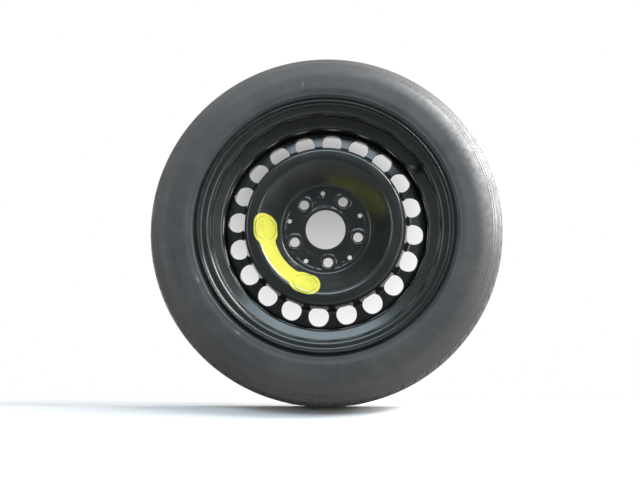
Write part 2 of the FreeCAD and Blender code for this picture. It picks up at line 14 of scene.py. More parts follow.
import bmesh
import bpy
import numpy as np
from mathutils import Matrix, Vector


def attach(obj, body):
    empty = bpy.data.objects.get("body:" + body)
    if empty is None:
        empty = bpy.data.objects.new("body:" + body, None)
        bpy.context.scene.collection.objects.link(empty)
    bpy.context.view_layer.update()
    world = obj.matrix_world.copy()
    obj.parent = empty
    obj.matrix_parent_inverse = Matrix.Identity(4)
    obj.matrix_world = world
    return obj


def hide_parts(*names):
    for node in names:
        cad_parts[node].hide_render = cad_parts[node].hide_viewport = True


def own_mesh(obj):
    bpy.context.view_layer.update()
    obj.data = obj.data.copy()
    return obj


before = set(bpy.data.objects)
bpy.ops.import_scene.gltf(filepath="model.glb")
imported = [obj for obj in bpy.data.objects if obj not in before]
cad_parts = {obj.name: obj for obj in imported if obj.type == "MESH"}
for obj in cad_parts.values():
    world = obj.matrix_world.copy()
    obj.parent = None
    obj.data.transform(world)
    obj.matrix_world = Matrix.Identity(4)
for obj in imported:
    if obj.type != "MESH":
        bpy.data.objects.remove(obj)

MM = 0.001
WHOLE_TURN = 2.0 * math.pi
MERGE_DISTANCE = 2e-6
SHORTEST_RUN = 1e-6
SEARCH_STEPS = 4001
ROW_GAP = 0.3
HOLE_STEPS = 180
RING_CROWDING = 1.25
FINE_STEPS = (0.25, 0.5)
DUST_ROUGHNESS = 0.35
WHITE = (1.0, 1.0, 1.0)

Array = np.ndarray
Corner = tuple[float, float, float]
Place = tuple[float, float, float]
Colour = tuple[float, float, float]
Span = tuple[float, float]
Ramp = tuple[float, float, float, float]
Mark = tuple[float, float, float, float, float]

log = logging.getLogger("spare_wheel")


class Body(Enum):
    """Bodies of the model that a piece can ride on."""

    WHEEL = "wheel"
    CAP = "cap"


class Slot(Enum):
    """Material slots of the record."""

    TYRE = "tyre_rubber"
    PAINT = "black_paint"
    WELD = "weld_paint"
    FILM = "yellow_vinyl"
    VALVE = "valve_rubber"
    SPRING = "spring_steel"
    CAP = "cap_plastic"


@dataclass(frozen=True)
class Surface:
    """Points of a mesh in millimetres, its four-sided faces and values that its points carry."""

    points: Array
    faces: Array
    values: dict[str, Array] = field(default_factory=dict)


def unit(vector: Array) -> Array:
    """Give a vector the length 1."""
    return vector / np.linalg.norm(vector)


def smooth_step(value: Array, low: float, high: float) -> Array:
    """Rise from 0 at low to 1 at high with level ends.

    Args:
        value: Numbers to map.
        low: Where the rise begins.
        high: Where the rise ends.

    Returns:
        3t^2 - 2t^3, where t is the share of the way from low to high.
    """
    share = np.clip((value - low) / (high - low), 0.0, 1.0)
    return share * share * (3.0 - 2.0 * share)


def rounded_path(corners: Sequence[Corner], arc_step: float, run_step: float) -> Array:
    """Lay a line through corners and round each corner off.

    A corner's arc touches both runs at its radius divided by the tangent of half the corner's angle, and
    its centre lies on the line that halves that angle.

    Args:
        corners: Rows of radius, place along the axis and bend radius. The end rows have no bend.
        arc_step: Spacing of the points on the arcs.
        run_step: Spacing of the points on the straight runs.

    Returns:
        Points of the line, one row each.
    """
    rows = np.asarray(corners, dtype=float)
    points, bends = rows[:, :2], rows[:, 2]
    parts: list[Array] = []
    before = points[0]
    for here, bend, last, following in zip(points[1:-1], bends[1:-1], points[:-2], points[2:]):
        back, ahead = unit(last - here), unit(following - here)
        half = 0.5 * math.acos(float(np.clip(back @ ahead, -1.0, 1.0)))
        start, end = here + back * bend / math.tan(half), here + ahead * bend / math.tan(half)
        centre = here + unit(back + ahead) * bend / math.sin(half)
        first = math.atan2(*(start - centre)[::-1])
        turn = math.remainder(math.atan2(*(end - centre)[::-1]) - first, WHOLE_TURN)
        count = max(3, math.ceil(abs(turn) * bend / arc_step))
        angles = first + turn * np.linspace(0.0, 1.0, count + 1)[:-1]
        parts.append(straight_run(before, start, run_step))
        parts.append(centre + bend * np.stack([np.cos(angles), np.sin(angles)], axis=-1))
        before = end
    parts.append(straight_run(before, points[-1], run_step))
    parts.append(points[-1:])
    return np.concatenate(parts)


def straight_run(start: Array, end: Array, step: float) -> Array:
    """Divide a straight run evenly.

    Args:
        start: First point.
        end: Last point, which is left out.
        step: Largest spacing.

    Returns:
        Points from start up to, not including, end.
    """
    length = float(np.linalg.norm(end - start))
    if length < SHORTEST_RUN:
        return np.empty((0, 2))
    return np.linspace(start, end, max(1, math.ceil(length / step)), endpoint=False)


class Outline:
    """A sheet's visible line in the half plane through the axis, measured by its length."""

    def __init__(self, points: Array, flip: bool = False) -> None:
        """Measure a line.

        Args:
            points: Radius and place along the axis, one row each.
            flip: Whether the sheet lies on the line's left instead of its right.
        """
        self.points = points
        self.length = np.concatenate([[0.0], np.cumsum(np.linalg.norm(np.diff(points, axis=0), axis=1))])
        slope = np.gradient(points, self.length, axis=0)
        slope /= np.linalg.norm(slope, axis=1, keepdims=True)
        side = -1.0 if flip else 1.0
        self.normal = side * np.stack([slope[:, 1], -slope[:, 0]], axis=-1)

    @property
    def end(self) -> float:
        """Whole length of the line."""
        return float(self.length[-1])

    def at(self, length: Array, depth: Array) -> Array:
        """Find points below the line.

        Args:
            length: Lengths along the line.
            depth: Depths below the line, into the sheet.

        Returns:
            Radius and place along the axis: the line's point plus depth times its normal.
        """
        place = np.stack([np.interp(length, self.length, self.points[:, k]) for k in (0, 1)], axis=-1)
        inward = np.stack([np.interp(length, self.length, self.normal[:, k]) for k in (0, 1)], axis=-1)
        inward /= np.linalg.norm(inward, axis=-1, keepdims=True)
        return place + inward * np.asarray(depth)[..., None]

    def radius(self, length: Array) -> Array:
        """Radius of the line at a length."""
        return np.interp(length, self.length, self.points[:, 0])

    def find(self, column: int, value: float, low: float = 0.0, high: float = math.inf) -> float:
        """Find the length at which the line reaches a radius or a place.

        Args:
            column: 0 for the radius, 1 for the place along the axis.
            value: The radius or the place.
            low: Where the search begins.
            high: Where the search ends.

        Returns:
            The length of the nearest point in that stretch.
        """
        lengths = np.linspace(low, min(high, self.end), SEARCH_STEPS)
        reached = np.interp(lengths, self.length, self.points[:, column])
        return float(lengths[np.argmin(np.abs(reached - value))])

    def rows(self, low: float, high: float) -> Array:
        """Lengths of the line's own points between two lengths, with both ends."""
        inside = self.length[(self.length > low + ROW_GAP) & (self.length < high - ROW_GAP)]
        return np.concatenate([[low], inside, [high]])


def grid_faces(rows: int, columns: int, closed_rows: bool = False, closed_columns: bool = False) -> Array:
    """Number the four-sided faces of a grid.

    Args:
        rows: Points along the first parameter.
        columns: Points along the second parameter.
        closed_rows: Whether the last row joins the first.
        closed_columns: Whether the last column joins the first.

    Returns:
        Four point numbers for each face.
    """
    index = np.arange(rows * columns).reshape(rows, columns)
    if closed_rows:
        index = np.vstack([index, index[:1]])
    if closed_columns:
        index = np.hstack([index, index[:, :1]])
    corners = [index[:-1, :-1], index[:-1, 1:], index[1:, 1:], index[1:, :-1]]
    return np.stack(corners, axis=-1).reshape(-1, 4)


def round_axle(radius: Array, along: Array, angle: Array) -> Array:
    """Place points by radius, place along the axle and angle round it.

    Args:
        radius: Distances from the axle.
        along: Places along the axle.
        angle: Angles round the axle in radians.

    Returns:
        Points (radius cos angle, along, radius sin angle).
    """
    radius, along, angle = np.broadcast_arrays(radius, along, angle)
    return np.stack([radius * np.cos(angle), along, radius * np.sin(angle)], axis=-1)


def grid_surface(points: Array, closed_rows: bool = False, closed_columns: bool = False,
                 **values: Array) -> Surface:
    """Make a surface of a grid of points.

    Args:
        points: Rows by columns by three.
        closed_rows: Whether the last row joins the first.
        closed_columns: Whether the last column joins the first.
        **values: Numbers that the points carry, rows by columns.

    Returns:
        The surface.
    """
    faces = grid_faces(points.shape[0], points.shape[1], closed_rows, closed_columns)
    carried = {name: np.broadcast_to(value, points.shape[:2]).ravel() for name, value in values.items()}
    return Surface(points.reshape(-1, 3), faces, carried)


def join(surfaces: Sequence[Surface]) -> Surface:
    """Put surfaces that carry the same values into one."""
    starts = np.cumsum([0] + [len(part.points) for part in surfaces[:-1]])
    faces = np.concatenate([part.faces + start for part, start in zip(surfaces, starts)])
    values = {name: np.concatenate([part.values[name] for part in surfaces]) for name in surfaces[0].values}
    return Surface(np.concatenate([part.points for part in surfaces]), faces, values)


def add_object(name: str, data: bpy.types.ID) -> bpy.types.Object:
    """Put a mesh, a lamp or a camera in the scene."""
    holder = bpy.data.objects.new(name, data)
    bpy.context.scene.collection.objects.link(holder)
    return holder


def add_piece(name: str, surface: Surface, material: bpy.types.Material, body: Body,
              replaces: str, sharp: float = 42.0) -> bpy.types.Object:
    """Write a closed surface to a mesh object that rides on a body.

    Args:
        name: Name of the piece.
        surface: Its points, faces and values.
        material: Its finish.
        body: Body that it rides on.
        replaces: Node that it stands for.
        sharp: Angle in degrees past which an edge is drawn sharp.

    Returns:
        The new object.
    """
    mesh = bpy.data.meshes.new(name)
    mesh.from_pydata((surface.points * MM).tolist(), [], surface.faces.tolist())
    for label, numbers in surface.values.items():
        mesh.attributes.new(label, "FLOAT", "POINT").data.foreach_set("value", numbers.astype(np.float32))
    shell = bmesh.new()
    shell.from_mesh(mesh)
    bmesh.ops.remove_doubles(shell, verts=shell.verts, dist=MERGE_DISTANCE)
    bmesh.ops.recalc_face_normals(shell, faces=shell.faces)
    open_edges = sum(1 for edge in shell.edges if len(edge.link_faces) != 2)
    shell.to_mesh(mesh)
    shell.free()
    mesh.shade_smooth()
    mesh.set_sharp_from_angle(angle=math.radians(sharp))
    mesh.materials.append(material)
    piece = add_object(name, mesh)
    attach(piece, body.value)
    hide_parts(replaces)
    mesh.calc_loop_triangles()
    log.info("%s: %d triangles, %d open edges", name, len(mesh.loop_triangles), open_edges)
    return piece


class NodeGraph:
    """Short ways to add nodes and links to one node tree."""

    def __init__(self, tree: bpy.types.NodeTree) -> None:
        """Take a node tree and empty it."""
        self.tree = tree
        self.tree.nodes.clear()

    def node(self, kind: str, inputs: Optional[dict[Any, Any]] = None, **settings: Any) -> bpy.types.Node:
        """Add a node.

        Args:
            kind: Blender's name of the node type without its ShaderNode part.
            inputs: Values or output sockets by the input's name or number.
            **settings: Properties of the node.

        Returns:
            The new node.
        """
        prefix = "" if kind.startswith("Node") else "ShaderNode"
        node = self.tree.nodes.new(prefix + kind)
        for name, value in settings.items():
            setattr(node, name, value)
        self.feed(node, inputs or {})
        return node

    def feed(self, node: bpy.types.Node, inputs: dict[Any, Any]) -> None:
        """Set or link inputs of a node.

        Args:
            node: The node.
            inputs: Values or output sockets by the input's name or number.
        """
        for name, value in inputs.items():
            if isinstance(value, bpy.types.NodeSocket):
                self.tree.links.new(value, node.inputs[name])
            else:
                node.inputs[name].default_value = value

    def math(self, operation: str, *values: Any, clamp: bool = False) -> bpy.types.NodeSocket:
        """Work out a number from numbers or sockets with a Math node."""
        inputs = dict(enumerate(values))
        return self.node("Math", inputs, operation=operation, use_clamp=clamp).outputs[0]

    def hypot(self, first: Any, second: Any) -> bpy.types.NodeSocket:
        """Root of the sum of two squares."""
        squares = [self.math("MULTIPLY", value, value) for value in (first, second)]
        return self.math("SQRT", self.math("ADD", *squares))

    def mix(self, share: Any, first: Any, second: Any) -> bpy.types.NodeSocket:
        """Mix two colours.

        Args:
            share: Share of the second colour.
            first: First colour or socket.
            second: Second colour or socket.

        Returns:
            The mixed colour's socket.
        """
        colours = [value if isinstance(value, bpy.types.NodeSocket) else (*value, 1.0) for value in (first, second)]
        node = self.node("Mix", {0: share, 6: colours[0], 7: colours[1]}, data_type="RGBA")
        return node.outputs[2]

    def band(self, value: Any, low: float, high: float, first: float = 0.0, last: float = 1.0) -> bpy.types.NodeSocket:
        """Map a value to a smooth rise from first at low to last at high."""
        inputs = {"Value": value, "From Min": low, "From Max": high, "To Min": first, "To Max": last}
        return self.node("MapRange", inputs, interpolation_type="SMOOTHSTEP").outputs[0]

    def noise(self, scale: Any, detail: float = 2.0, vector: Any = None, rough: float = 0.5) -> bpy.types.NodeSocket:
        """Read cloudy noise at Object coordinates, or at a given vector."""
        place = vector or self.node("TexCoord").outputs["Object"]
        inputs = {"Vector": place, "Scale": scale, "Detail": detail, "Roughness": rough}
        return self.node("TexNoise", inputs).outputs["Fac"]


def new_material(name: str) -> tuple[bpy.types.Material, NodeGraph]:
    """Start a material with an empty node tree."""
    material = bpy.data.materials.new(name)
    material.use_nodes = True
    return material, NodeGraph(material.node_tree)


def new_group(name: str, inputs: dict[str, float], outputs: dict[str, str]) -> tuple[NodeGraph, Any, Any]:
    """Start a shared node group.

    Args:
        name: Name of the group.
        inputs: Default of each number that goes in.
        outputs: Socket type of each result.

    Returns:
        The graph, the sockets of what goes in and the group's output node.
    """
    tree = bpy.data.node_groups.new(name, "ShaderNodeTree")
    for label, default in inputs.items():
        tree.interface.new_socket(label, in_out="INPUT", socket_type="NodeSocketFloat").default_value = default
    for label, kind in outputs.items():
        tree.interface.new_socket(label, in_out="OUTPUT", socket_type=kind)
    graph = NodeGraph(tree)
    return graph, graph.node("NodeGroupInput").outputs, graph.node("NodeGroupOutput")


class SharedEffects:
    """Node groups that several finishes use."""

    def __init__(self) -> None:
        """Build each group once."""
        self.place = self.wheel_place()
        self.dust = self.settled_dust()
        self.grain = self.fine_grain()
        self.patch = self.worn_patch()

    @staticmethod
    def wheel_place() -> bpy.types.NodeTree:
        """Build the group that gives the radius in millimetres and the angle in degrees."""
        outputs = {name: "NodeSocketFloat" for name in ("Radius", "Angle")}
        graph, _, out = new_group("wheel_place", {}, outputs)
        axes = graph.node("SeparateXYZ", {0: graph.node("TexCoord").outputs["Object"]}).outputs
        angle = graph.math("ARCTAN2", axes[2], axes[0])
        graph.feed(out, {"Radius": graph.math("DIVIDE", graph.hypot(axes[0], axes[2]), MM),
                         "Angle": graph.math("MULTIPLY", angle, 180.0 / math.pi)})
        return graph.tree

    @staticmethod
    def settled_dust() -> bpy.types.NodeTree:
        """Build the group that masks dust: fine specks plus a cloudy film."""
        inputs = {"Speck Scale": 900.0, "Speck Share": 0.3, "Film Scale": 14.0, "Film Share": 0.4}
        graph, pull, out = new_group("settled_dust", inputs, {"Mask": "NodeSocketFloat"})
        speck = graph.band(graph.noise(pull["Speck Scale"], 2.0), 0.64, 0.74)
        film = graph.band(graph.noise(pull["Film Scale"], 6.0), 0.38, 0.72)
        specks = graph.math("MULTIPLY", speck, pull["Speck Share"])
        clouds = graph.math("MULTIPLY", film, pull["Film Share"])
        graph.feed(out, {"Mask": graph.math("ADD", specks, clouds, clamp=True)})
        return graph.tree

    @staticmethod
    def fine_grain() -> bpy.types.NodeTree:
        """Build the group that gives a bumpy normal from noise at one scale."""
        inputs = {"Scale": 600.0, "Strength": 0.1, "Depth": 0.0002}
        graph, pull, out = new_group("fine_grain", inputs, {"Normal": "NodeSocketVector"})
        bump = graph.node("Bump", {"Strength": pull["Strength"], "Distance": pull["Depth"],
                                   "Height": graph.noise(pull["Scale"], 3.0)})
        graph.feed(out, {"Normal": bump.outputs["Normal"]})
        return graph.tree

    @staticmethod
    def worn_patch() -> bpy.types.NodeTree:
        """Build the group that masks a soft patch by its radius and angle on the wheel."""
        inputs = {"Radius": 0.0, "Angle": 0.0, "Centre Radius": 250.0, "Half Height": 8.0, "Centre Angle": 0.0,
                  "Half Angle": 10.0}
        graph, pull, out = new_group("worn_patch", inputs, {"Mask": "NodeSocketFloat"})
        rise = graph.math("SUBTRACT", pull["Radius"], pull["Centre Radius"])
        aside = graph.math("SUBTRACT", pull["Angle"], pull["Centre Angle"])
        turned = graph.math("WRAP", aside, 180.0, -180.0)
        far = graph.hypot(graph.math("DIVIDE", rise, pull["Half Height"]),
                          graph.math("DIVIDE", turned, pull["Half Angle"]))
        graph.feed(out, {"Mask": graph.band(far, 0.0, 1.0, 1.0, 0.0)})
        return graph.tree


@dataclass(frozen=True)
class Finish:
    """Base of the finishes: a colour, a gloss and a grain on one Principled BSDF."""

    name: str
    colour: Colour
    roughness: float
    metallic: float = 0.0
    specular: float = 0.5
    grain_scale: float = 600.0
    grain_strength: float = 0.1
    grain_depth: float = 0.0002
    dust_colour: Colour = (0.3, 0.29, 0.27)
    speck_share: float = 0.2
    film_share: float = 0.15
    film_scale: float = 14.0
    cloud_noise: Span = (30.0, 4.0)
    cloud_band: Span = (0.35, 0.65)
    cloud_dark: float = 0.86
    gloss_noise: Span = (45.0, 3.0)
    gloss_band: Span = (0.3, 0.7)
    gloss_swing: float = 0.15
    mark_noise: Span = (120.0, 4.0)
    mark_break: Ramp = (0.3, 0.6, 0.4, 1.0)

    def make(self, effects: SharedEffects) -> bpy.types.Material:
        """Build the material.

        Args:
            effects: Shared node groups.

        Returns:
            The material.
        """
        material, graph = new_material(self.name)
        dust = {"Speck Share": self.speck_share, "Film Share": self.film_share, "Film Scale": self.film_scale}
        mask = graph.node("Group", dust, node_tree=effects.dust).outputs["Mask"]
        bumps = {"Scale": self.grain_scale, "Strength": self.grain_strength, "Depth": self.grain_depth}
        grain = graph.node("Group", bumps, node_tree=effects.grain).outputs["Normal"]
        dull = graph.math("MULTIPLY", mask, DUST_ROUGHNESS)
        shader = graph.node("BsdfPrincipled", {
            "Base Color": graph.mix(mask, self.tint(graph, effects), self.dust_colour),
            "Metallic": self.metallic, "Specular IOR Level": self.specular, "Normal": grain,
            "Roughness": graph.math("ADD", dull, self.shine(graph), clamp=True)})
        graph.node("OutputMaterial", {"Surface": shader.outputs[0]})
        return material

    def tint(self, graph: NodeGraph, effects: SharedEffects) -> Any:
        """Darken the colour by up to a seventh in soft clouds.

        Args:
            graph: The material's graph.
            effects: Shared node groups.

        Returns:
            The colour's socket.
        """
        darker = tuple(self.cloud_dark * part for part in self.colour)
        return graph.mix(graph.band(graph.noise(*self.cloud_noise), *self.cloud_band), self.colour, darker)

    def shine(self, graph: NodeGraph) -> Any:
        """Vary the roughness in soft clouds.

        Args:
            graph: The material's graph.

        Returns:
            The roughness's socket.
        """
        least, most = ((1.0 + side * self.gloss_swing) * self.roughness for side in (-1.0, 1.0))
        return graph.band(graph.noise(*self.gloss_noise), *self.gloss_band, least, most)

    def marked(self, graph: NodeGraph, effects: SharedEffects, colour: Any, marks: Sequence[Mark],
               paint: Colour) -> Any:
        """Lay soft, broken marks over a colour.

        Args:
            graph: The material's graph.
            effects: Shared node groups.
            colour: The colour's socket so far.
            marks: Radius, half height, angle, half angle and strength of each mark.
            paint: Colour of the marks.

        Returns:
            The colour's socket.
        """
        place = graph.node("Group", node_tree=effects.place).outputs
        for radius, height, angle, width, share in marks:
            inputs = {"Radius": place["Radius"], "Angle": place["Angle"], "Centre Radius": radius,
                      "Half Height": height, "Centre Angle": angle, "Half Angle": width}
            patch = graph.node("Group", inputs, node_tree=effects.patch).outputs["Mask"]
            broken = graph.math("MULTIPLY", patch, graph.band(graph.noise(*self.mark_noise), *self.mark_break))
            colour = graph.mix(graph.math("MULTIPLY", broken, share), colour, paint)
        return colour


@dataclass(frozen=True)
class TyreRubber(Finish):
    """Aged rubber: greyer towards the shoulder, with scuffs, a painted lit patch on the upper right side, faint spokes
    of wear and painted shade, dark and bluish, at the bead beside the rim.
    """

    shoulder_colour: Colour = (0.095, 0.089, 0.087)
    # Painted shade: darker, bluish rubber at the bead, where the tyre meets the rim lip.
    bead_shade_colour: Colour = (0.042, 0.045, 0.05)
    # Scuff marks; the widest one is a painted lit patch, a lighter stretch over the upper right side.
    scuffs_and_lit_patch: tuple[Mark, ...] = ()
    scuff_and_lit_patch_colour: Colour = (0.3, 0.29, 0.28)
    dark_scuffs: tuple[Mark, ...] = ()
    dark_colour: Colour = (0.03, 0.03, 0.03)
    bead_band: Span = (206.0, 226.0)
    shoulder_band: Span = (246.0, 276.0)
    shoulder_noise: Span = (9.0, 5.0)
    shoulder_break: Ramp = (0.25, 0.7, 0.45, 1.0)
    spoke_stretch: float = 0.012
    spoke_noise: Span = (0.8, 4.0)
    spoke_rough: float = 0.6
    spoke_band: Ramp = (0.55, 0.8, 0.0, 0.1)

    def tint(self, graph: NodeGraph, effects: SharedEffects) -> Any:
        """Lay the colour by radius with painted shade at the bead, streak it along the spokes and add each scuff and
        the painted lit patch.

        Args:
            graph: The material's graph.
            effects: Shared node groups.

        Returns:
            The colour's socket.
        """
        place = graph.node("Group", node_tree=effects.place).outputs
        # The bead band carries painted shade, darker and bluish next to the rim.
        colour = graph.mix(graph.band(place["Radius"], *self.bead_band), self.bead_shade_colour, self.colour)
        shoulder = graph.band(place["Radius"], *self.shoulder_band)
        clouds = graph.band(graph.noise(*self.shoulder_noise), *self.shoulder_break)
        cloudy = graph.math("MULTIPLY", shoulder, clouds)
        colour = graph.mix(cloudy, colour, self.shoulder_colour)
        outward = graph.math("MULTIPLY", place["Radius"], self.spoke_stretch)
        spokes = graph.node("CombineXYZ", {0: place["Angle"], 1: outward}).outputs[0]
        streaks = graph.band(graph.noise(*self.spoke_noise, spokes, self.spoke_rough), *self.spoke_band)
        colour = graph.mix(streaks, colour, self.scuff_and_lit_patch_colour)
        # The scuffs include a painted lit patch that makes the upper right side lighter.
        colour = self.marked(graph, effects, colour, self.scuffs_and_lit_patch, self.scuff_and_lit_patch_colour)
        return self.marked(graph, effects, colour, self.dark_scuffs, self.dark_colour)


@dataclass(frozen=True)
class GlossPaint(Finish):
    """Dipped black paint with a slight orange peel and pale arcs on the pad that are painted highlights."""

    # Pale arcs on the pad between the bolts: painted highlights along its raised lands.
    painted_highlights: tuple[Mark, ...] = ()
    painted_highlight_colour: Colour = (0.42, 0.43, 0.43)
    mark_noise: Span = (300.0, 3.0)
    mark_break: Ramp = (0.42, 0.6, 0.0, 1.0)

    def tint(self, graph: NodeGraph, effects: SharedEffects) -> Any:
        """Add each painted highlight to the paint's colour.

        Args:
            graph: The material's graph.
            effects: Shared node groups.

        Returns:
            The colour's socket.
        """
        colour = Finish.tint(self, graph, effects)
        # Lay the painted highlights over the paint.
        return self.marked(graph, effects, colour, self.painted_highlights, self.painted_highlight_colour)


@dataclass(frozen=True)
class LabelFilm(Finish):
    """Glossy yellow film with a thin dark line inside the edge of each lobe."""

    line_colour: Colour = (0.05, 0.045, 0.01)
    line_at: float = 0.84
    line_half: float = 0.022

    def tint(self, graph: NodeGraph, effects: SharedEffects) -> Any:
        """Draw the line where the share of the way to the edge reaches its place in a lobe.

        Args:
            graph: The material's graph.
            effects: Shared node groups.

        Returns:
            The colour's socket.
        """
        colour = Finish.tint(self, graph, effects)
        reach = graph.node("Attribute", attribute_name="edge_share").outputs["Fac"]
        lobe = graph.node("Attribute", attribute_name="lobe").outputs["Fac"]
        off = graph.math("ABSOLUTE", graph.math("SUBTRACT", reach, self.line_at))
        line = graph.math("MULTIPLY", graph.band(off, 0.5 * self.line_half, self.line_half, 1.0, 0.0), lobe)
        return graph.mix(line, colour, self.line_colour)


class Finishes:
    """All finishes of the wheel, each made once."""

    def __init__(self) -> None:
        """Set the finishes and build their materials."""
        effects = SharedEffects()
        self.tyre = TyreRubber(
            "tyre_rubber_aged", (0.05, 0.0505, 0.051), 0.5, grain_scale=420.0, grain_strength=0.16,
            grain_depth=0.0003, dust_colour=(0.2, 0.185, 0.175), speck_share=0.1, film_share=0.1, film_scale=11.0,
            # The last scuff, wide over the upper right side, is painted light: a lighter patch where the lamps fall.
            scuffs_and_lit_patch=((222.0, 3.0, 204.0, 2.2, 0.8), (223.0, 2.6, 232.0, 2.0, 0.75), (236.0, 12.0, 98.6, 0.35, 0.6),
                    (283.0, 4.0, 175.0, 5.0, 0.6), (264.0, 26.0, 26.0, 52.0, 0.62)),
            dark_scuffs=((248.0, 5.0, 196.0, 10.0, 0.6), (273.0, 13.0, 33.6, 0.3, 0.85)),
        ).make(effects)
        self.paint = GlossPaint(
            "black_paint_gloss", (0.023, 0.026, 0.0248), 0.18, grain_scale=260.0, grain_strength=0.05,
            grain_depth=0.0002, dust_colour=(0.2, 0.2, 0.2), speck_share=0.1, film_share=0.03, film_scale=20.0,
            # These pale arcs on the pad are painted highlights.
            painted_highlights=((56.5, 2.0, 97.0, 7.0, 0.9), (50.0, 1.2, 112.0, 8.0, 0.7), (47.0, 1.2, 236.0, 12.0, 0.6),
                  (62.0, 1.4, 300.0, 7.0, 0.6)),
        ).make(effects)
        self.weld = Finish("weld_paint_black", (0.012, 0.012, 0.012), 0.34, grain_scale=500.0,
                           grain_strength=0.25).make(effects)
        self.film = LabelFilm("yellow_film_gloss", (0.66, 0.63, 0.09), 0.16, grain_scale=180.0, grain_strength=0.06,
                              dust_colour=(0.45, 0.42, 0.2), speck_share=0.12, film_share=0.08).make(effects)
        self.valve = Finish("valve_rubber_moulded", (0.018, 0.018, 0.019), 0.5, grain_scale=700.0,
                            grain_strength=0.15).make(effects)
        self.cap = Finish("cap_plastic_moulded", (0.016, 0.016, 0.017), 0.33, grain_scale=900.0,
                          grain_strength=0.12, speck_share=0.1, film_share=0.1).make(effects)
        self.brass = Finish("brass_turned", (0.62, 0.43, 0.19), 0.3, 1.0, grain_scale=800.0, grain_strength=0.1,
                            dust_colour=(0.2, 0.14, 0.07), speck_share=0.1, film_share=0.3).make(effects)
        self.seal = Finish("seal_rubber_soft", (0.025, 0.025, 0.026), 0.58, grain_strength=0.2).make(effects)
        self.spring = Finish("spring_steel_bright", (0.56, 0.56, 0.55), 0.26, 1.0, grain_scale=900.0,
                             dust_colour=(0.2, 0.19, 0.18), speck_share=0.06, film_share=0.15).make(effects)


def edge_steps(radius: float) -> tuple[Array, Array]:
    """Divide a rounded sheet edge by equal angles.

    Args:
        radius: Radius of the rounding.

    Returns:
        Distances from the edge, radius (1 - cos a), and drops of the surface, radius (1 - sin a).
    """
    angles = np.radians([0.0, 30.0, 60.0, 90.0])
    return radius * (1.0 - np.cos(angles)), radius * (1.0 - np.sin(angles))


@dataclass(frozen=True)
class Hole:
    """A hole in a sheet, inside a cell of its own that spans two lengths and an angle."""

    length: float
    angle: float
    outline: Array
    low: float
    high: float
    half_angle: float
    seat_radius: float = 0.0
    seat_depth: float = 0.0

    def reach(self, direction: Array) -> Array:
        """Distance from the hole's centre to its outline in given directions."""
        bearing = np.arctan2(self.outline[:, 1], self.outline[:, 0])
        order = np.argsort(bearing)
        span = np.hypot(self.outline[:, 0], self.outline[:, 1])[order]
        return np.interp(direction, bearing[order], span, period=WHOLE_TURN)


def round_hole(radius: float) -> Array:
    """Outline of a round hole."""
    angles = np.linspace(-math.pi, math.pi, HOLE_STEPS + 1)[:-1]
    return radius * np.stack([np.cos(angles), np.sin(angles)], axis=-1)


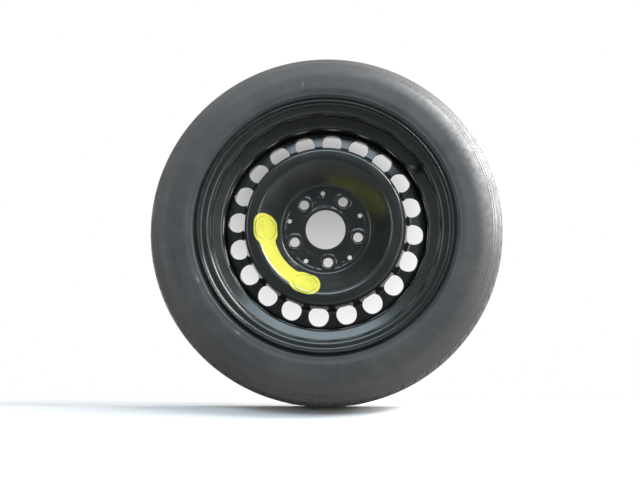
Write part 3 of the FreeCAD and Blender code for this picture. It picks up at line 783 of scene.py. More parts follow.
@dataclass
class HoledSheet:
    """A turned sheet with holes: plain bands of a grid, and cells whose lines run from a hole to the cell.

    Attributes:
        outline: Line of the visible side.
        thickness: Thickness of the sheet.
        edge: Rounding of its cut edges.
        columns: Lines round the axle.
        relief: Depth of a relief in the visible side by radius and angle.
        parts: Surfaces made so far.
    """

    outline: Outline
    thickness: float
    edge: float
    columns: int
    relief: Optional[Callable[[Array, Array], Array]] = None
    parts: list[Surface] = field(default_factory=list)

    def place(self, length: Array, angle: Array, drop: Array, rear: bool) -> Array:
        """Place points of one side of the sheet.

        Args:
            length: Lengths along the outline.
            angle: Angles round the axle.
            drop: Depth below that side.
            rear: Whether the side is the hidden one.

        Returns:
            The points. The hidden side lies one thickness below the visible one.
        """
        depth = np.asarray(self.thickness - drop if rear else drop, dtype=float)
        if self.relief is not None and not rear:
            depth = depth + self.relief(self.outline.radius(length), angle)
        length, angle, depth = np.broadcast_arrays(length, angle, depth)
        spot = self.outline.at(length, depth)
        return round_axle(spot[..., 0], spot[..., 1], angle)

    def band(self, lengths: Array, first: float, last: float, drops: Optional[Array] = None,
             start: float = 0.0, share: float = 1.0) -> None:
        """Add a plain band of both sides.

        Args:
            lengths: Lengths of its rows.
            first: Angle of the first line at the band's first row.
            last: Angle of the first line at the band's last row.
            drops: Depth of each row below its side.
            start: Part of the band's angle that is left out at its beginning.
            share: Share of the whole turn that the band covers.
        """
        drop = np.zeros_like(lengths) if drops is None else drops
        ramp = (lengths - lengths[0]) / (lengths[-1] - lengths[0])
        phase = first + (last - first) * ramp
        count = round(self.columns * share)
        turns = start + WHOLE_TURN / self.columns * np.arange(count + (share < 1.0))
        angle = phase[:, None] + turns[None, :]
        for rear in (False, True):
            points = self.place(lengths[:, None], angle, drop[:, None], rear)
            self.parts.append(grid_surface(points, closed_columns=share >= 1.0))

    def rim_edge(self, length: float, inward: float, phase: float) -> float:
        """Close the sheet at one end with a rounded edge.

        Args:
            length: Length of the end.
            inward: 1 where the sheet goes on to longer lengths, -1 where it goes on to shorter ones.
            phase: Angle of the first line.

        Returns:
            The length at which the rounding ends.
        """
        away, drop = edge_steps(self.edge)
        self.band(length + inward * away, phase, phase, drop)
        angle = phase + WHOLE_TURN / self.columns * np.arange(self.columns)
        depths = np.array([self.edge, self.thickness - self.edge])
        wall = self.place(np.full((2, 1), length), angle[None, :], depths[:, None], False)
        self.parts.append(grid_surface(wall, closed_columns=True))
        return length + inward * self.edge

    def cell(self, hole: Hole, side_rows: int, rings: int) -> None:
        """Add the cell round one hole.

        Each line of the cell runs straight, on the sheet rolled flat, from the hole's outline to the
        cell's border. The first rings follow the rounded edge of the hole, the others divide the rest.

        Args:
            hole: The hole.
            side_rows: Divisions of the cell along the outline.
            rings: Rings between the rounded edge and the border.
        """
        count = round(self.columns * 2.0 * hole.half_angle / WHOLE_TURN)
        over = np.linspace(-hole.half_angle, hole.half_angle, count + 1)
        up = np.linspace(hole.low, hole.high, side_rows + 1)
        aside = np.concatenate([over[:-1], np.full(side_rows, over[-1]), over[:0:-1], np.full(side_rows, over[0])])
        length = np.concatenate([np.full(count, up[0]), up[:-1], np.full(count, up[-1]), up[:0:-1]])
        border = np.stack([self.outline.radius(length) * np.sin(aside), length - hole.length], axis=-1)
        bearing = np.arctan2(border[:, 1], border[:, 0])
        span = hole.reach(bearing)
        heading = np.stack([np.cos(bearing), np.sin(bearing)], axis=-1)
        rim = heading * span[:, None]
        whole = np.linalg.norm(border - rim, axis=1)
        away, drop = edge_steps(self.edge)
        inner = np.repeat(away[:, None], len(span), axis=1)
        share = np.linspace(0.0, 1.0, rings + 1)[1:, None] ** RING_CROWDING
        outer = self.edge + (whole - self.edge)[None, :] * share
        distance = np.concatenate([inner, outer])
        drops = np.concatenate([drop, np.zeros(rings)])[:, None]
        flat = rim[None] + (border - rim)[None] * (distance / whole)[..., None]
        lengths = hole.length + flat[..., 1]
        angles = hole.angle + np.arcsin(flat[..., 0] / self.outline.radius(lengths))
        centre_distance = np.hypot(flat[..., 0], flat[..., 1])
        seat = np.zeros_like(centre_distance)
        if hole.seat_radius:
            seat = hole.seat_depth * (1.0 - smooth_step(centre_distance, float(span.min()), hole.seat_radius))
        front = self.place(lengths, angles, drops + seat, False)
        rear = self.place(lengths, angles, np.broadcast_to(drops, lengths.shape), True)
        for points in (front, rear, np.stack([front[0], rear[0]])):
            self.parts.append(grid_surface(points, closed_columns=True))

    def surface(self) -> Surface:
        """Put all parts of the sheet together."""
        return join(self.parts)


@dataclass
class PressedDisc:
    """Pressed steel disc: pad, dish, crown, vented trough and skirt."""

    finishes: Finishes
    line: tuple[Corner, ...] = (
        (33.3, -3.6, 0.0), (75.0, -3.6, 7.0), (111.0, -44.4, 15.0), (131.0, -43.0, 8.5), (138.0, -13.0, 6.0),
        (168.6, -6.5, 9.0), (168.6, 15.0, 0.0))
    steps: Span = (1.15, 9.0)
    sheet: float = 3.6
    edge: float = 0.7
    columns: int = 360
    vent_count: int = 20
    vent_first: float = 13.6
    vent_half: float = 16.6
    vent_middle: float = 148.0
    vent_inner: float = 135.5
    vent_corner: float = 11.5
    vent_steps: Span = (0.5, 1.0)
    vent_slack: float = 0.01
    bolt_count: int = 5
    bolt_circle: float = 56.0
    bolt_first: float = 58.2
    bolt_radius: float = 8.0
    seat_radius: float = 11.5
    seat_depth: float = 2.2
    small_circle: float = 62.5
    small_radius: float = 3.7
    hub_cell: tuple[int, int] = (12, 8)
    vent_cell: tuple[int, int] = (18, 7)
    vent_border: Span = (3.0, 2.6)
    pad_start: Span = (38.0, 41.0)
    pad_end: float = 70.0
    pad_fade: Span = (4.0, 1.0)
    land_radius: float = 14.2
    land_blend: float = 1.2
    land_height: float = 1.2
    weld_count: int = 8
    weld_turn: float = 24.0
    weld_leg: float = 3.8
    weld_shrink: float = 0.15
    weld_radius: float = 168.65
    weld_low: float = 15.05
    weld_rows: int = 97
    weld_sides: int = 9
    weld_power: int = 8
    weld_least: float = 0.02
    weld_ripples: float = 34.0
    weld_relief: float = 0.1
    weld_sway: float = 0.6
    weld_tip: float = 0.4
    weld_sharp: float = 60.0

    def pad_relief(self, radius: Array, angle: Array) -> Array:
        """Sink the pad between the bolt holes.

        Args:
            radius: Distances from the axle.
            angle: Angles round the axle.

        Returns:
            Depth of the relief, which is nought within the land round each bolt hole and outside the pad.
        """
        pitch = WHOLE_TURN / self.bolt_count
        turn = np.mod(angle - math.radians(self.bolt_first) + 0.5 * pitch, pitch) - 0.5 * pitch
        near = np.hypot(radius * np.cos(turn) - self.bolt_circle, radius * np.sin(turn))
        between = smooth_step(near, self.land_radius - self.land_blend, self.land_radius + self.land_blend)
        low, high = (self.pad_end - inset for inset in self.pad_fade)
        inside = smooth_step(radius, *self.pad_start) * (1.0 - smooth_step(radius, low, high))
        return self.land_height * between * inside

    def vent_outline(self, outline: Outline) -> tuple[float, float, float, Array]:
        """Draw one vent on the sheet rolled flat.

        Args:
            outline: The disc's visible line.

        Returns:
            Lengths of the vent's centre and two ends, and its outline about that centre: seen along the
            axle, a half round at the outer end and a straight inner end with rounded corners.
        """
        inner, outer = self.vent_inner, self.vent_middle + self.vent_half
        half, corner = self.vent_half, self.vent_corner
        arch = half - self.vent_slack
        path = rounded_path(
            ((0.0, inner, 0.0), (half, inner, corner), (half, outer, arch), (-half, outer, arch),
             (-half, inner, corner), (0.0, inner, 0.0)), *self.vent_steps)[:-1]
        wall = outline.length > outline.find(0, self.line[3][0])
        lengths = np.interp(path[:, 1], outline.points[wall, 0], outline.length[wall])
        low, high = float(lengths.min()), float(lengths.max())
        centre = 0.5 * (low + high)
        return centre, low, high, np.stack([path[:, 0], lengths - centre], axis=-1)

    def build(self) -> None:
        """Build the disc and its welds."""
        outline = Outline(rounded_path(self.line, *self.steps), flip=True)
        disc = HoledSheet(outline, self.sheet, self.edge, self.columns, self.pad_relief)
        step = WHOLE_TURN / self.columns
        hub_pitch = WHOLE_TURN / (2 * self.bolt_count)
        vent_pitch = WHOLE_TURN / self.vent_count
        hub_phase = math.radians(self.bolt_first) - 0.5 * hub_pitch
        vent_phase = math.radians(self.vent_first) - 0.5 * vent_pitch
        vent_phase += step * round((hub_phase - vent_phase) / step)
        hub_low = disc.rim_edge(0.0, 1.0, hub_phase)
        pad_end = outline.find(0, self.pad_end)
        for index in range(2 * self.bolt_count):
            bolt = index % 2 == 0
            angle = math.radians(self.bolt_first) + index * hub_pitch
            disc.cell(Hole(
                length=outline.find(0, self.bolt_circle if bolt else self.small_circle), angle=angle,
                outline=round_hole(self.bolt_radius if bolt else self.small_radius), low=hub_low, high=pad_end,
                half_angle=0.5 * hub_pitch, seat_radius=self.seat_radius if bolt else 0.0,
                seat_depth=self.seat_depth), *self.hub_cell)
        centre, low, high, shape = self.vent_outline(outline)
        border_low, border_high = low - self.vent_border[0], high + self.vent_border[1]
        disc.band(outline.rows(pad_end, border_low), hub_phase, vent_phase)
        for index in range(self.vent_count):
            angle = math.radians(self.vent_first) + index * vent_pitch
            disc.cell(Hole(centre, angle, shape, border_low, border_high, 0.5 * vent_pitch), *self.vent_cell)
        disc.band(outline.rows(border_high, outline.end - self.edge), vent_phase, vent_phase)
        disc.rim_edge(outline.end, -1.0, vent_phase)
        add_piece("pressed_disc", disc.surface(), self.finishes.paint, Body.WHEEL, "disc")
        beads = [self.weld_bead(WHOLE_TURN * index / self.weld_count) for index in range(self.weld_count)]
        add_piece("weld_beads", join(beads), self.finishes.weld, Body.WHEEL, "disc_welds", self.weld_sharp)

    def weld_bead(self, middle: float) -> Surface:
        """Shape one rippled weld bead.

        Args:
            middle: Angle of its middle.

        Returns:
            A fillet whose face bulges and ripples along its run and whose ends taper to a point.
        """
        half = 0.5 * math.radians(self.weld_turn)
        along = np.linspace(-1.0, 1.0, self.weld_rows)[:, None]
        around = np.linspace(0.0, 0.5 * math.pi, self.weld_sides)[None, :]
        taper = np.sqrt(np.clip(1.0 - along ** self.weld_power, self.weld_least, 1.0))
        wave = np.abs(np.sin(along * self.weld_ripples + self.weld_sway * np.cos(2.0 * around)))
        ripple = 1.0 - self.weld_relief + self.weld_relief * wave
        leg = (self.weld_leg - self.weld_shrink) * taper * ripple
        root = np.ones_like(along)
        radius = np.hstack([self.weld_radius - leg * np.cos(around), self.weld_radius * root])
        place = np.hstack([self.weld_low + leg * np.sin(around), self.weld_low * root])
        points = round_axle(radius, place, middle + half * along)
        tips = round_axle(self.weld_radius - self.weld_tip, self.weld_low + self.weld_tip,
                          middle + half * along[[0, -1]])
        first, last = np.broadcast_to(tips, (2,) + points.shape[1:])
        return grid_surface(np.concatenate([first[None], points, last[None]]), closed_columns=True)


@dataclass
class RolledRim:
    """Rolled steel rim with two flanges, two bead seats and a well, pierced for the valve."""

    finishes: Finishes
    line: tuple[Corner, ...] = (
        (207.4, -62.0, 0.0), (207.4, -50.8, 9.5), (190.1, -50.8, 6.5), (188.4, -30.8, 3.4), (171.5, -23.8, 3.2),
        (171.5, 22.0, 3.2), (188.4, 30.8, 3.4), (190.1, 50.8, 6.5), (207.4, 50.8, 9.5), (207.4, 62.0, 0.0))
    steps: Span = (1.0, 7.0)
    sheet: float = 2.8
    edge: float = 0.9
    columns: int = 360
    valve_angle: float = 32.7
    valve_hole: float = 5.65
    cell_turn: float = 8.0
    cell_half: float = 8.6
    cell_size: tuple[int, int] = (12, 5)
    hole_radius: float = 179.0
    wall_places: tuple[float, float, float] = (-40.0, -27.0, 0.0)
    wall_reach: float = 12.0

    def build(self) -> None:
        """Build the rim."""
        outline = Outline(rounded_path(self.line, *self.steps), flip=True)
        rim = HoledSheet(outline, self.sheet, self.edge, self.columns)
        half_turn = math.radians(0.5 * self.cell_turn)
        phase = math.radians(self.valve_angle) - half_turn
        low = rim.rim_edge(0.0, 1.0, phase)
        front, wall_place, rear = self.wall_places
        wall = outline.find(1, wall_place, outline.find(1, front), outline.find(1, rear))
        middle = outline.find(0, self.hole_radius, wall - self.wall_reach, wall + self.wall_reach)
        border_low, border_high = middle - self.cell_half, middle + self.cell_half
        rim.band(outline.rows(low, border_low), phase, phase)
        rows = np.linspace(border_low, border_high, self.cell_size[0] + 1)
        rim.band(rows, phase, phase, start=math.radians(self.cell_turn), share=1.0 - self.cell_turn / 360.0)
        rim.cell(Hole(middle, math.radians(self.valve_angle), round_hole(self.valve_hole), border_low, border_high,
                      half_turn), *self.cell_size)
        rim.band(outline.rows(border_high, outline.end - self.edge), phase, phase)
        rim.rim_edge(outline.end, -1.0, phase)
        add_piece("rolled_rim", rim.surface(), self.finishes.paint, Body.WHEEL, "rim")


def other_side(corners: Sequence[Corner]) -> list[Corner]:
    """Give the same corners on the other side of the wheel's middle plane."""
    return [(radius, -place, bend) for radius, place, bend in corners]


@dataclass
class MouldedTyre:
    """Narrow tyre with three grooves, leaning shoulder notches and fine moulded rings."""

    finishes: Finishes
    outside: tuple[Corner, ...] = (
        (188.81, 33.3, 0.0), (190.3, 50.6, 6.3), (207.6, 50.6, 9.3), (218.0, 64.0, 20.0), (262.0, 64.0, 42.0),
        (284.5, 46.0, 9.0), (292.5, 23.0, 80.0))
    inside: tuple[Corner, ...] = (
        (191.31, 33.3, 0.0), (207.2, 33.3, 10.0), (220.5, 57.0, 20.0), (259.5, 57.0, 35.0), (273.5, 39.0, 9.0),
        (281.5, 23.0, 25.0))
    steps: Span = (4.6, 6.0)
    lining_steps: Span = (12.0, 24.0)
    groove_places: tuple[float, ...] = (-24.0, 0.0, 24.0)
    groove_width: float = 5.0
    groove_depth: float = 4.0
    groove_bevel: float = 0.25
    tread_radius: float = 280.0
    tread_part: Span = (0.3, 0.7)
    row_gap: float = 1.1
    notch_count: int = 80
    notch_phase: float = 2.25
    notch_lean: float = 8.0
    notch_start: float = 32.0
    notch_step: float = 0.1
    notch_end: float = 52.0
    notch_floor: float = 285.0
    notch_half: float = 0.054
    notch_lines: tuple[float, ...] = (-0.062, -0.046, 0.046, 0.062, 0.25, 0.42, 0.58, 0.75)
    lean_radius: float = 285.0
    lean_band: Span = (240.0, 262.0)
    ring_radii: tuple[float, ...] = (213.6, 217.2, 270.5, 274.5)
    ring_height: float = 0.55
    ring_half: float = 0.9
    sharp: float = 32.0

    def section(self) -> tuple[Array, Array]:
        """Draw the closed section.

        Returns:
            The outside from the front toe over the tread to the rear toe, with its grooves and rings, and
            the inside back again.
        """
        whole = other_side(self.outside) + list(reversed(self.outside))
        line = Outline(rounded_path(whole, *FINE_STEPS))
        lengths = Outline(rounded_path(whole, *self.steps)).length
        half, middle = 0.5 * self.groove_width, 0.5 * line.end
        edges = [place + side * half + shift for place in self.groove_places for side in (-1.0, 1.0)
                 for shift in (-self.groove_bevel, self.groove_bevel)]
        edges += [side * (self.notch_start + shift) for side in (-1.0, 1.0)
                  for shift in (-self.notch_step, self.notch_step)]
        low, high = (part * line.end for part in self.tread_part)
        rings = [line.find(0, radius, *part) for radius in self.ring_radii
                 for part in ((0.0, middle), (middle, line.end))]
        extra = [line.find(1, edge, low, high) for edge in edges]
        extra += [ring + self.ring_half * shift for ring in rings for shift in (-1.0, 0.0, 1.0)]
        kept = lengths[np.min(np.abs(lengths[:, None] - np.array(extra)[None, :]), axis=1) > self.row_gap]
        lengths = np.sort(np.concatenate([kept, extra]))
        points = line.at(lengths, np.zeros_like(lengths))
        on_tread = points[:, 0] > self.tread_radius
        for place in self.groove_places:
            points[:, 0] -= self.groove_depth * (on_tread & (np.abs(points[:, 1] - place) < half))
        raised = np.zeros_like(lengths)
        for ring in rings:
            raised += self.ring_height * np.clip(1.0 - np.abs(lengths - ring) / self.ring_half, 0.0, 1.0)
        points[:, 1] += np.sign(points[:, 1]) * raised
        lining = rounded_path(list(self.inside) + list(reversed(other_side(self.inside))), *self.lining_steps)
        return points, lining

    def build(self) -> None:
        """Build the tyre as one closed grid.

        The lines round the axle are set by the notches: four of each pitch stand at a notch's edges. They
        lean with the notches past the shoulder, and the lines between two notch edges drop to the notch's
        floor wherever the tread lies above it.
        """
        outer, lining = self.section()
        profile = np.concatenate([outer, lining])
        fractions = np.array(self.notch_lines)
        pitch = WHOLE_TURN / self.notch_count
        turns = (np.arange(self.notch_count)[:, None] + fractions[None, :]).ravel() * pitch
        turns += math.radians(self.notch_phase)
        in_notch = np.tile(np.abs(fractions) < self.notch_half, self.notch_count)
        side = np.abs(profile[:, 1])
        share = np.clip((side - self.notch_start) / (self.notch_end - self.notch_start), 0.0, 1.0)
        share[len(outer):] = 0.0
        share *= smooth_step(profile[:, 0], *self.lean_band)
        lean = -np.sign(profile[:, 1]) * share * self.notch_lean / self.lean_radius
        angle = turns[None, :] + lean[:, None]
        on_shoulder = (side > self.notch_start) & (profile[:, 0] > self.notch_floor)
        on_shoulder[len(outer):] = False
        sunk = on_shoulder[:, None] & in_notch[None, :]
        radius = np.where(sunk, self.notch_floor, profile[:, :1])
        points = round_axle(radius, profile[:, 1:2], angle)
        add_piece("moulded_tyre", grid_surface(points, closed_rows=True, closed_columns=True), self.finishes.tyre,
                  Body.WHEEL, "tyre", self.sharp)


@dataclass
class DishLabel:
    """Adhesive film on the dish: two rounded lobes joined by a narrower band."""

    finishes: Finishes
    disc: PressedDisc
    lobe_angles: tuple[float, float] = (181.5, 251.0)
    lobe_half: float = 24.6
    lobe_low: float = 81.5
    lobe_high: float = 116.5
    lobe_corner: float = 17.0
    band_middle: float = 98.0
    band_half: float = 11.5
    fillet: float = 3.0
    lobe_fade: float = 3.0
    line_radius: float = 99.0
    line_squash: float = 0.94
    line_limit: float = 4.0
    least_height: float = 0.02
    climb_end: float = 124.0
    end_crowding: float = 0.35
    gap: float = 0.05
    film: float = 0.25
    columns: int = 240
    rows: int = 44

    @property
    def lobe_middle(self) -> float:
        """Radius of the middle of a lobe."""
        return 0.5 * (self.lobe_low + self.lobe_high)

    def from_lobe(self, angle: Array) -> Array:
        """Angle in radians between given angles in degrees and the nearer lobe's middle."""
        return np.radians(np.min(np.abs(angle[:, None] - np.array(self.lobe_angles)[None, :]), axis=1))

    def half_heights(self, angle: Array) -> tuple[Array, Array, Array]:
        """Find how far the film reaches to both sides of the middle of a lobe.

        Args:
            angle: Angles in degrees.

        Returns:
            Lowest radius, highest radius and the share of a lobe, which fades to 0 on the band. The edge is
            the smooth maximum (a + b + root((a - b)^2 + fillet^2)) / 2 of the lobe's edge and the band's.
        """
        middle = self.lobe_middle
        high_half = 0.5 * (self.lobe_high - self.lobe_low)
        over = self.from_lobe(angle) * middle
        past = np.clip(over - (self.lobe_half - self.lobe_corner), 0.0, self.lobe_corner)
        lobe = high_half - self.lobe_corner + np.sqrt(self.lobe_corner ** 2 - past ** 2)
        lobe = np.where(over <= self.lobe_half, lobe, 0.0)
        between = (angle > self.lobe_angles[0]) & (angle < self.lobe_angles[1])
        band_low = np.where(between, self.band_half - self.band_middle + middle, 0.0)
        band_high = np.where(between, self.band_half + self.band_middle - middle, 0.0)
        low, high = (middle + side * 0.5 * (lobe + band + np.hypot(lobe - band, self.fillet * between))
                     for side, band in ((-1.0, band_low), (1.0, band_high)))
        share = smooth_step(lobe - self.band_half, 0.0, self.lobe_fade)
        return low, high, share

    def build(self) -> None:
        """Build the film.

        Its two sides are grids over angle and radius on the disc's visible line, one gap and one
        thickness above it, closed along the border.
        """
        line = Outline(rounded_path(self.disc.line, *FINE_STEPS), flip=True)
        reach = math.degrees(self.lobe_half / self.lobe_middle)
        swing = 0.5 - 0.5 * np.cos(np.linspace(0.0, math.pi, self.columns))
        even = np.linspace(0.0, 1.0, self.columns)
        start, end = self.lobe_angles[0] - reach, self.lobe_angles[1] + reach
        angle = start + (end - start) * (self.end_crowding * swing + (1.0 - self.end_crowding) * even)
        low, high, lobe = self.half_heights(angle)
        low, high = np.minimum(low, high - self.least_height), np.maximum(high, low + self.least_height)
        climb = line.length <= line.find(0, self.climb_end)
        share = np.linspace(0.0, 1.0, self.rows)[:, None]
        radius = low[None, :] + (high - low)[None, :] * share
        length = np.interp(radius, line.points[climb, 0], line.length[climb])
        across = np.abs(2.0 * share - 1.0)
        aside = self.from_lobe(angle) * self.line_radius / self.lobe_half
        edge_share = np.sqrt(np.clip(across ** 2 * self.line_squash + aside[None, :] ** 2, 0.0, self.line_limit))
        sides = []
        for depth in (-self.gap - self.film, -self.gap):
            spot = line.at(length, np.full_like(length, depth))
            sides.append(round_axle(spot[..., 0], spot[..., 1], np.radians(angle)[None, :]))
        top, base = sides
        carried = {"edge_share": edge_share, "lobe": np.broadcast_to(lobe[None, :], edge_share.shape)}
        parts = [grid_surface(top, **carried), grid_surface(base, **carried)]
        for cut in ((slice(0, 1), slice(None)), (slice(-1, None), slice(None)), (slice(None), slice(0, 1)),
                    (slice(None), slice(-1, None))):
            strip = np.stack([top[cut].reshape(-1, 3), base[cut].reshape(-1, 3)])
            values = {name: np.stack([value[cut].ravel()] * 2) for name, value in carried.items()}
            parts.append(grid_surface(strip, **values))
        add_piece("dish_label", join(parts), self.finishes.film, Body.WHEEL, "yellow_film")


@dataclass
class SnapInValve:
    """Snap-in valve in the front wall of the well: rubber body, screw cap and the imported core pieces."""

    finishes: Finishes
    base: Place = (149.828, -29.542, 96.188)
    heading: Place = (-0.322024, -0.923884, -0.206736)
    columns: int = 72
    body_line: tuple[Corner, ...] = (
        (3.25, -7.3, 0.0), (7.2, -7.3, 0.8), (7.8, -4.6, 0.8), (6.9, -2.95, 0.5), (5.55, -2.9, 0.3),
        (5.55, 0.1, 0.3), (7.2, 0.1, 0.6), (7.2, 3.0, 1.2), (5.2, 7.5, 6.0), (4.8, 20.0, 0.9), (3.25, 20.0, 0.0))
    cap_line: tuple[Corner, ...] = (
        (3.95, 31.0, 0.0), (3.95, 22.0, 0.2), (4.9, 22.0, 0.5), (4.9, 32.8, 0.01), (4.4, 34.4, 1.2), (0.02, 34.4, 0.0))
    cap_lining: tuple[Corner, ...] = ((0.02, 32.5, 0.0), (3.95, 32.5, 0.2), (3.95, 31.0, 0.0))
    body_steps: Span = (0.25, 1.2)
    cap_steps: Span = (0.22, 0.5)
    lining_steps: Span = (0.3, 1.0)
    flute_count: int = 18
    flute_depth: float = 0.42
    flute_low: float = 23.0
    flute_high: float = 32.2
    flute_fade: float = 0.6
    flute_radius: float = 4.6
    flute_power: float = 0.7
    flute_columns: int = 216
    spring_radius: float = 0.95
    spring_wire: float = 0.2
    spring_turns: int = 6
    spring_steps: int = 36
    spring_sides: int = 12
    spring_low: float = 12.51
    spring_high: float = 21.74
    spring_keep: float = 0.83
    brass_nodes: tuple[str, ...] = ("valve_insert", "core_plug", "core_barrel", "core_pin", "core_cup")
    seal_nodes: tuple[str, ...] = ("core_gasket", "core_cup_seal", "cap_seal")

    def axes(self) -> tuple[Array, Array, Array]:
        """Give two directions square to the stem, and the stem's own."""
        ahead = unit(np.array(self.heading))
        aside = unit(np.cross(ahead, np.array([0.0, 0.0, 1.0])))
        return aside, np.cross(ahead, aside), ahead

    def turned(self, line: Array, flute: bool = False) -> Surface:
        """Turn a closed line about the stem.

        Args:
            line: Radius and height, one row each.
            flute: Whether the outside carries grip flutes.

        Returns:
            The surface. A flute lowers the radius by its depth times a raised cosine of the angle.
        """
        aside, upward, ahead = self.axes()
        columns = self.flute_columns if flute else self.columns
        angle = np.linspace(0.0, WHOLE_TURN, columns, endpoint=False)[None, :]
        radius, height = line[:, :1] + np.zeros_like(angle), line[:, 1:2]
        if flute:
            wave = np.clip(np.cos(self.flute_count * angle), 0.0, 1.0) ** self.flute_power
            held = smooth_step(height, self.flute_low, self.flute_low + self.flute_fade)
            held = held * (1.0 - smooth_step(height, self.flute_high, self.flute_high + self.flute_fade))
            radius = radius - self.flute_depth * wave * held * (line[:, :1] > self.flute_radius)
        points = (np.array(self.base) + (radius * np.cos(angle))[..., None] * aside
                  + (radius * np.sin(angle))[..., None] * upward + height[..., None] * ahead)
        return grid_surface(points, closed_rows=True, closed_columns=True)

    def build(self) -> None:
        """Build the rubber body, the cap and the spring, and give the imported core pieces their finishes."""
        rubber = rounded_path(self.body_line, *self.body_steps)
        add_piece("valve_body", self.turned(rubber), self.finishes.valve, Body.WHEEL, "valve_rubber")
        cap = np.concatenate([rounded_path(self.cap_line, *self.cap_steps),
                              rounded_path(self.cap_lining, *self.lining_steps)[:-1]])
        add_piece("grip_cap", self.turned(cap, flute=True), self.finishes.cap, Body.CAP, "valve_cap")
        self.spring()
        self.dress()

    def spring(self) -> None:
        """Wind the core's spring.

        Its centre line is a helix about the stem. Each ring of the wire lies in the plane of the stem and
        the line's point, and a last ring at each end shrinks to that point.
        """
        aside, upward, ahead = self.axes()
        steps = np.linspace(0.0, 1.0, self.spring_steps * self.spring_turns + 1)
        share = np.concatenate([[0.0], steps, [1.0]])[:, None]
        turn = WHOLE_TURN * self.spring_turns * share
        outward = np.cos(turn) * aside + np.sin(turn) * upward
        low, high = self.spring_low + self.spring_wire, self.spring_high - self.spring_wire
        centre = np.array(self.base) + self.spring_radius * outward + (low + (high - low) * share) * ahead
        wire = np.full((len(share), 1, 1), self.spring_wire)
        wire[[0, -1]] = 0.0
        around = np.linspace(0.0, WHOLE_TURN, self.spring_sides, endpoint=False)[None, :, None]
        points = centre[:, None] + wire * (np.cos(around) * outward[:, None] + np.sin(around) * ahead)
        piece = add_piece("core_coil", grid_surface(points, closed_columns=True), self.finishes.spring, Body.WHEEL,
                          "core_spring")
        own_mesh(piece)

    def dress(self) -> None:
        """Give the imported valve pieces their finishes."""
        for names, material in ((self.brass_nodes, self.finishes.brass), (self.seal_nodes, self.finishes.seal)):
            for name in names:
                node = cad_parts[name]
                node.data.materials.clear()
                node.data.materials.append(material)
                log.info("%s: packed shape with %s", name, material.name)


@dataclass(frozen=True)
class Lamp:
    """A soft oblong lamp: where it hangs, its width and height, its watts, where it points and its colour."""

    name: str
    place: Place
    size: Span
    power: float
    aim: Place = (0.0, 0.0, 0.0)
    colour: Colour = WHITE

    def hang(self) -> None:
        """Add the lamp to the scene."""
        light = bpy.data.lights.new(self.name, "AREA")
        light.shape = "RECTANGLE"
        light.size, light.size_y = self.size
        light.energy = self.power
        light.color = self.colour
        holder = add_object(self.name, light)
        holder.location = self.place
        holder.rotation_euler = (Vector(self.aim) - Vector(self.place)).to_track_quat("-Z", "Y").to_euler()


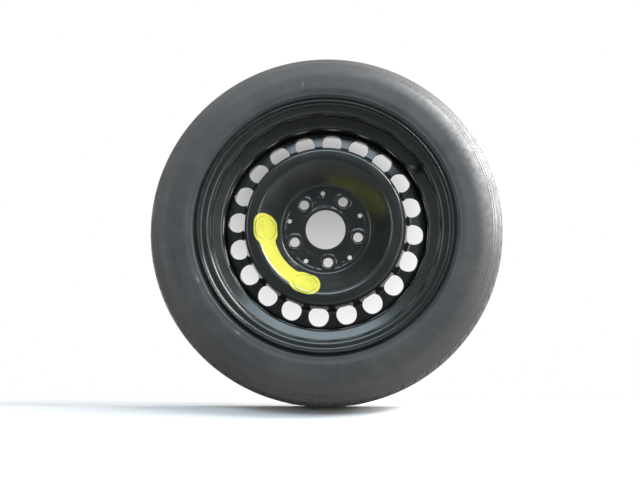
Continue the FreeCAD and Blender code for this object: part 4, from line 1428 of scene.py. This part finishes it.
@dataclass
class Studio:
    """Pale floor, white wall with a painted shadow of the wheel in its middle, soft lamps and the camera."""

    camera_place: Place = (0.042, -1.3242, -0.248)
    camera_ahead: Place = (-0.03834, 0.98443, 0.17158)
    camera_right: Place = (0.99924, 0.03891, 0.0)
    lens: float = 45.0
    sensor: float = 36.0
    floor_height: float = -0.2925
    wall_place: float = 1.6
    half_width: float = 6.0
    front_reach: float = 4.0
    front_slope: float = 0.36
    slope_end: float = 0.1
    slope_rows: int = 83
    wall_top: float = 5.0
    wall_rise: Span = (0.35, 1.0)
    bend: float = 0.5
    bend_rows: int = 25
    paint: Colour = (0.93, 0.93, 0.93)
    bounced_paint: Colour = (0.36, 0.36, 0.36)
    # Painted shadow of the wheel on the wall behind it: grey, darker higher up, fading to white away from a point.
    painted_shadow_low: Colour = (0.7, 0.7, 0.69)
    painted_shadow_high: Colour = (0.17, 0.17, 0.168)
    painted_shadow_heights: Span = (0.05, 0.68)
    painted_shadow_middle: Place = (-0.1, 1.6, 0.32)
    painted_shadow_reach: Span = (0.18, 0.51)
    floor_reach: Span = (0.5, 1.0)
    room_colour: Colour = (0.96, 0.98, 1.0)
    room_light: float = 0.24
    mirrored_colour: Colour = (0.9, 1.0, 0.98)
    room_mirrored: Ramp = (-1.0, -0.62, 0.1, 0.6)
    lamps: tuple[Lamp, ...] = (
        Lamp("key_right", (1.35, -0.6, 1.3), (0.8, 1.0), 50.0),
        Lamp("rim_right", (1.6, 0.35, 0.75), (0.9, 1.2), 52.0, aim=(0.2, 0.0, 0.1)),
        Lamp("top_front", (0.1, -1.5, 1.45), (1.5, 0.7), 22.0, colour=(0.68, 0.86, 1.0)),
        Lamp("strip_left", (-1.45, -0.95, 0.3), (0.12, 1.1), 4.0),
        Lamp("strip_right", (1.3, -1.5, 0.2), (0.14, 1.2), 7.0))

    def build(self) -> None:
        """Build the stage, the lamps, the room's light and the camera."""
        self.stage()
        for lamp in self.lamps:
            lamp.hang()
        self.surroundings()
        self.camera()

    def stage(self) -> None:
        """Slope the floor down towards the camera, and sweep it up into the wall along a quarter round."""
        angles = np.linspace(0.0, 0.5 * math.pi, self.bend_rows)
        bend_y = self.wall_place - self.bend + self.bend * np.sin(angles)
        bend_z = self.floor_height + self.bend - self.bend * np.cos(angles)
        slope_y = np.linspace(-self.front_reach, self.slope_end, self.slope_rows)
        slope_z = self.floor_height + self.front_slope * np.minimum(slope_y, 0.0)
        path_y = np.concatenate([slope_y, bend_y, [self.wall_place]])
        path_z = np.concatenate([slope_z, bend_z, [self.wall_top]])
        side = np.linspace(-self.half_width, self.half_width, 3)
        points = np.stack(np.broadcast_arrays(side[None, :], path_y[:, None], path_z[:, None]), axis=-1)
        mesh = bpy.data.meshes.new("studio_sweep")
        faces = grid_faces(*points.shape[:2])
        mesh.from_pydata(points.reshape(-1, 3).tolist(), [], faces.tolist())
        mesh.shade_smooth()
        mesh.materials.append(self.backdrop())
        sweep = add_object("studio_sweep", mesh)

    def backdrop(self) -> bpy.types.Material:
        """Make the sweep's white paint, which the camera and mirrors see as a wall with a painted shadow of the wheel
        in its middle.

        Returns:
            The material. The painted shadow darkens with height and fades to white with the distance from a point.
        """
        material, graph = new_material("studio_white")
        place = graph.node("TexCoord").outputs["Object"]
        axes = graph.node("SeparateXYZ", {0: place}).outputs
        wall = graph.band(axes[1], *self.wall_rise)
        # Paint the wheel's shadow onto the wall: grey that darkens with height and fades out with distance.
        far = graph.node("VectorMath", {0: place, 1: self.painted_shadow_middle}, operation="DISTANCE").outputs["Value"]
        shade = graph.mix(graph.band(axes[2], *self.painted_shadow_heights), self.painted_shadow_low, self.painted_shadow_high)
        wall_with_shadow = graph.mix(graph.band(far, *self.painted_shadow_reach), shade, WHITE)
        ray = graph.node("LightPath").outputs
        bounced = graph.math("MAXIMUM", ray["Is Diffuse Ray"], ray["Is Glossy Ray"])
        diffuse = graph.node("BsdfDiffuse", {"Color": graph.mix(bounced, self.paint, self.bounced_paint)})
        glow = graph.node("Emission", {"Color": wall_with_shadow, "Strength": 1.0})
        mirrored = graph.math("MAXIMUM", ray["Is Glossy Ray"], ray["Is Transmission Ray"])
        base = (0.0, 0.0, self.floor_height)
        away = graph.node("VectorMath", {0: place, 1: base}, operation="DISTANCE").outputs["Value"]
        outside = graph.math("MAXIMUM", wall, graph.band(away, *self.floor_reach))
        shown = graph.math("MULTIPLY", ray["Is Camera Ray"], outside)
        share = graph.math("MAXIMUM", shown, graph.math("MULTIPLY", mirrored, wall))
        mixed = graph.node("MixShader", {0: share, 1: diffuse.outputs[0], 2: glow.outputs[0]})
        graph.node("OutputMaterial", {"Surface": mixed.outputs[0]})
        return material

    def surroundings(self) -> None:
        """Light the room evenly and show it white, but mirror it dim on the camera's side."""
        world = bpy.data.worlds.new("studio_room")
        world.use_nodes = True
        graph = NodeGraph(world.node_tree)
        plain = graph.node("Background", {"Color": (*self.room_colour, 1.0), "Strength": self.room_light})
        aim = graph.node("SeparateXYZ", {0: graph.node("TexCoord").outputs["Generated"]}).outputs[1]
        dim = graph.band(aim, *self.room_mirrored)
        mirrored = graph.node("Background", {"Color": (*self.mirrored_colour, 1.0), "Strength": dim})
        white = graph.node("Background", {"Color": (*WHITE, 1.0), "Strength": 1.0})
        ray = graph.node("LightPath").outputs
        room = graph.node("MixShader", {0: ray["Is Glossy Ray"], 1: plain.outputs[0], 2: mirrored.outputs[0]})
        seen = graph.node("MixShader", {0: ray["Is Camera Ray"], 1: room.outputs[0], 2: white.outputs[0]})
        graph.node("OutputWorld", {"Surface": seen.outputs[0]})
        bpy.context.scene.world = world

    def camera(self) -> None:
        """Set the camera at the photograph's viewing angle."""
        view = bpy.data.cameras.new("camera")
        view.lens = self.lens
        view.sensor_width = self.sensor
        view.sensor_fit = "HORIZONTAL"
        ahead, right = Vector(self.camera_ahead).normalized(), Vector(self.camera_right).normalized()
        upward = right.cross(ahead)
        turn = Matrix((right, upward, -ahead)).transposed().to_4x4()
        holder = add_object("camera", view)
        holder.matrix_world = Matrix.Translation(self.camera_place) @ turn
        bpy.context.scene.camera = holder


def main() -> None:
    """Build the studio and the wheel, piece by piece."""
    logging.basicConfig(level=logging.INFO, format="%(name)s: %(message)s")
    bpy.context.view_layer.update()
    bpy.context.scene.view_settings.view_transform = "Standard"
    Studio().build()
    finishes = Finishes()
    disc = PressedDisc(finishes)
    disc.build()
    RolledRim(finishes).build()
    MouldedTyre(finishes).build()
    DishLabel(finishes, disc).build()
    SnapInValve(finishes).build()


if __name__ == "__main__":
    main()
